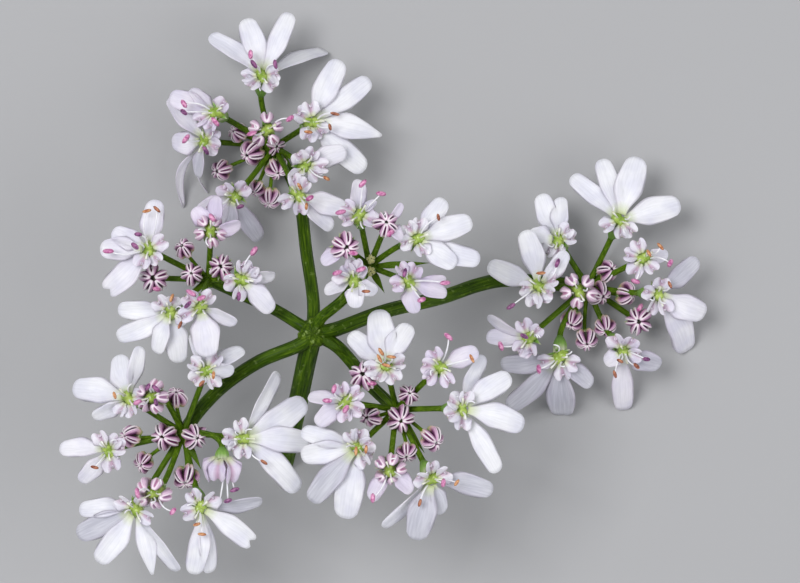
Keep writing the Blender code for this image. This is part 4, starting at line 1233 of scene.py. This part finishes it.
def folded_skin(name, cast, slot_width, slot_colours):
    """Folded petals: a dark slot, white lips, lilac sides, and a foot from green to salmon.

    The cast is a share and the colour that it is mixed with. The lilac sides darken to near black
    where the petals meet: partly purple and partly painted shade.
    """
    nodes = Nodes(name, 0.42)
    along, across, tone = nodes.spread()
    spots = nodes.noise(2200.0)
    wobble = nodes.times(nodes.math("SUBTRACT", spots, 0.5), 0.3)
    # The ramp darkens to near black at the sides: purple in part, painted shade between the petals in part
    body = nodes.ramp(nodes.math("ADD", across, wobble), FOLDED_COLOURS_AND_SIDE_SHADE)
    line_place = nodes.math("ADD", across, nodes.times(wobble, 0.4))
    line = nodes.ramp(line_place, [(0.54, 0.0), (0.6, 0.65), (0.62, 0.65), (0.68, 0.0)])
    reach = nodes.ramp(along, [(0.38, 0.0), (0.46, 1.0), (0.82, 1.0), (0.9, 0.0)])
    body = nodes.mix(nodes.times(line, reach), body, LINE_PURPLE)
    slot = nodes.ramp(across, [(slot_width * 0.5, 1.0), (slot_width, 0.0)])
    slot_colour = nodes.ramp(tone, [(0.2, slot_colours[0]), (0.8, slot_colours[1])])
    body = nodes.mix(nodes.times(slot, reach), body, slot_colour)
    foot = nodes.ramp(along, [(0.24, 0.95), (0.5, 0.0)])
    foot_colour = nodes.ramp(along, [(0.2, FOOT_GREEN), (0.38, FOOT_SALMON)])
    nodes.colour(nodes.mix(cast[0], nodes.mix(foot, body, foot_colour), cast[1]))
    nodes.bump(spots, 0.3, 0.04)
    return nodes.soften(0.2, 0.3)


def speckled(name, dark, light, roughness, scale, furrow=None):
    """A small part's finish: one colour that shades into another in spots.

    An anther has another colour in the furrow between its two sacs.
    """
    nodes = Nodes(name, roughness)
    spots = nodes.noise(scale)
    body = nodes.ramp(spots, [(0.35, dark), (0.65, light)])
    if furrow:
        waist = nodes.math("COSINE", nodes.times(nodes.attribute("across"), 2 * FULL_TURN))
        groove = nodes.math("LESS_THAN", waist, -0.6)
        body = nodes.mix(nodes.times(groove, 0.8), body, furrow)
    nodes.colour(body)
    nodes.bump(spots, 0.4, 0.04)
    return nodes.soften(0.1, 0.2)


# The finishes of each piece, in the order of their places
HEART_MATERIALS = [
    speckled("filament_white", (0.75, 0.74, 0.8), (0.9, 0.9, 0.93), 0.4, 2000.0),
    speckled("disc_yellow_green", (0.2, 0.32, 0.03), (0.42, 0.54, 0.12), 0.28, 2500.0),
    speckled("style_pale", (0.6, 0.62, 0.42), (0.82, 0.82, 0.78), 0.4, 2000.0),
    speckled("anther_pink", (0.4, 0.07, 0.24), (0.78, 0.38, 0.58), 0.5, 5000.0, (0.3, 0.04, 0.2)),
    speckled("anther_purple", (0.08, 0.015, 0.09), (0.38, 0.13, 0.3), 0.5, 5000.0, (0.5, 0.28, 0.42)),
    speckled("anther_orange", (0.36, 0.1, 0.03), (0.7, 0.38, 0.18), 0.5, 5000.0, (0.22, 0.04, 0.02)),
    speckled("anther_brown", (0.18, 0.035, 0.02), (0.5, 0.21, 0.11), 0.5, 5000.0, (0.08, 0.01, 0.01)),
]
FOLDED_FINISH = folded_skin("folded_petals", (0.0, YOUNG_CAST), 0.27, SLOT_PURPLE)
YOUNG_FINISH = folded_skin("young_petals", (0.35, YOUNG_CAST), 0.36, SLOT_PINK)
STALK_MATERIALS = [
    green_skin("stalk_green", (0.03, 0.07, 0.001), (0.075, 0.15, 0.004), (0.16, 0.26, 0.02), 0.2),
    ovary_finish(),
    FOLDED_FINISH,
    folded_skin("tiny_buds", (0.85, TINY_CAST), 0.18, SLOT_PURPLE),
    green_skin("bud_stalk_green", (0.045, 0.1, 0.002), (0.11, 0.21, 0.008), (0.2, 0.32, 0.03), 0.1),
]
STEM_MATERIALS = [
    green_skin("ray_green", (0.015, 0.038, 0.0), (0.04, 0.088, 0.001), (0.1, 0.175, 0.008), 0.25),
    green_skin("knob_green", (0.02, 0.045, 0.0), (0.05, 0.1, 0.002), (0.15, 0.23, 0.02), 0.6),
]


def floor():
    """The plain pale surface that the flower head lies on."""
    nodes = Nodes("floor_pale", 0.8)
    nodes.feed(FLOOR_GREY, nodes.shader.inputs["Base Color"])
    mesh = bpy.data.meshes.new("floor")
    corners = [(FLOOR_REACH * x, FLOOR_REACH * y, 0) for x, y in ((-1, -1), (1, -1), (1, 1), (-1, 1))]
    mesh.from_pydata(corners, [], [(0, 1, 2, 3)])
    mesh.materials.append(nodes.material)
    made = bpy.data.objects.new("floor", mesh)
    bpy.context.scene.collection.objects.link(made)


# Each light's place and size in metres, and its power in watts
MAIN_LIGHT = ((-0.2, 0.1, 0.5), 0.25, 2.05)
FILL_LIGHT = ((0.4, -0.15, 0.35), 0.4, 1.0)
SKY_STRENGTH = 0.5


def area_light(name, place, size, power):
    """A square soft light that looks at the flower head and isn't seen itself."""
    lamp = bpy.data.lights.new(name, "AREA")
    lamp.size = size
    lamp.energy = power
    made = bpy.data.objects.new(name, lamp)
    made.location = place
    made.rotation_euler = Vector(place).to_track_quat("Z", "Y").to_euler()
    made.visible_camera = False
    bpy.context.scene.collection.objects.link(made)


def lights():
    """Plain soft studio light: a main light from the upper left, and a fill from the right."""
    area_light("main_light", *MAIN_LIGHT)
    area_light("fill_light", *FILL_LIGHT)
    world = bpy.data.worlds.new("studio")
    world.use_nodes = True
    background = world.node_tree.nodes["Background"]
    background.inputs["Color"].default_value = (*SKY, 1.0)
    background.inputs["Strength"].default_value = SKY_STRENGTH
    bpy.context.scene.world = world


# The photograph's frame: its width in millimetres at the height of the flower head's middle,
# and the point of the head that lies in the middle of the frame
FRAME_WIDTH = 48.0
FRAME_MIDDLE = (5.22, 2.49)
FRAME_HEIGHT = 8.0
CAMERA_HEIGHT = 600.0
SENSOR_WIDTH = 36.0

# The nearest and furthest that the camera sees, in metres
CAMERA_REACH = (0.01, 10.0)


def camera():
    """Looks straight down from far away, as the photograph does."""
    data = bpy.data.cameras.new("camera")
    data.sensor_width = SENSOR_WIDTH
    data.lens = SENSOR_WIDTH * (CAMERA_HEIGHT - FRAME_HEIGHT) / FRAME_WIDTH
    data.clip_start, data.clip_end = CAMERA_REACH
    made = bpy.data.objects.new("camera", data)
    place = np.array((*FRAME_MIDDLE, CAMERA_HEIGHT)) + HUB_PLACE
    made.location = (place * MM).tolist()
    bpy.context.scene.collection.objects.link(made)
    bpy.context.scene.camera = made


stem_and_rays()
seed = 1
for place, umbel in UMBELS.items():
    stalks(umbel, place, seed)
    seed += 1
    for number, row in enumerate(umbel["blooms"], 1):
        bloom(umbel, f"{place}_bloom_{number}", row, seed)
        seed += 1
    for number, row in enumerate(umbel["half_open"], 1):
        half_open(umbel, f"{place}_half_open_{number}", row, seed)
        seed += 1
floor()
lights()
camera()
bpy.context.scene.view_settings.view_transform = "Standard"
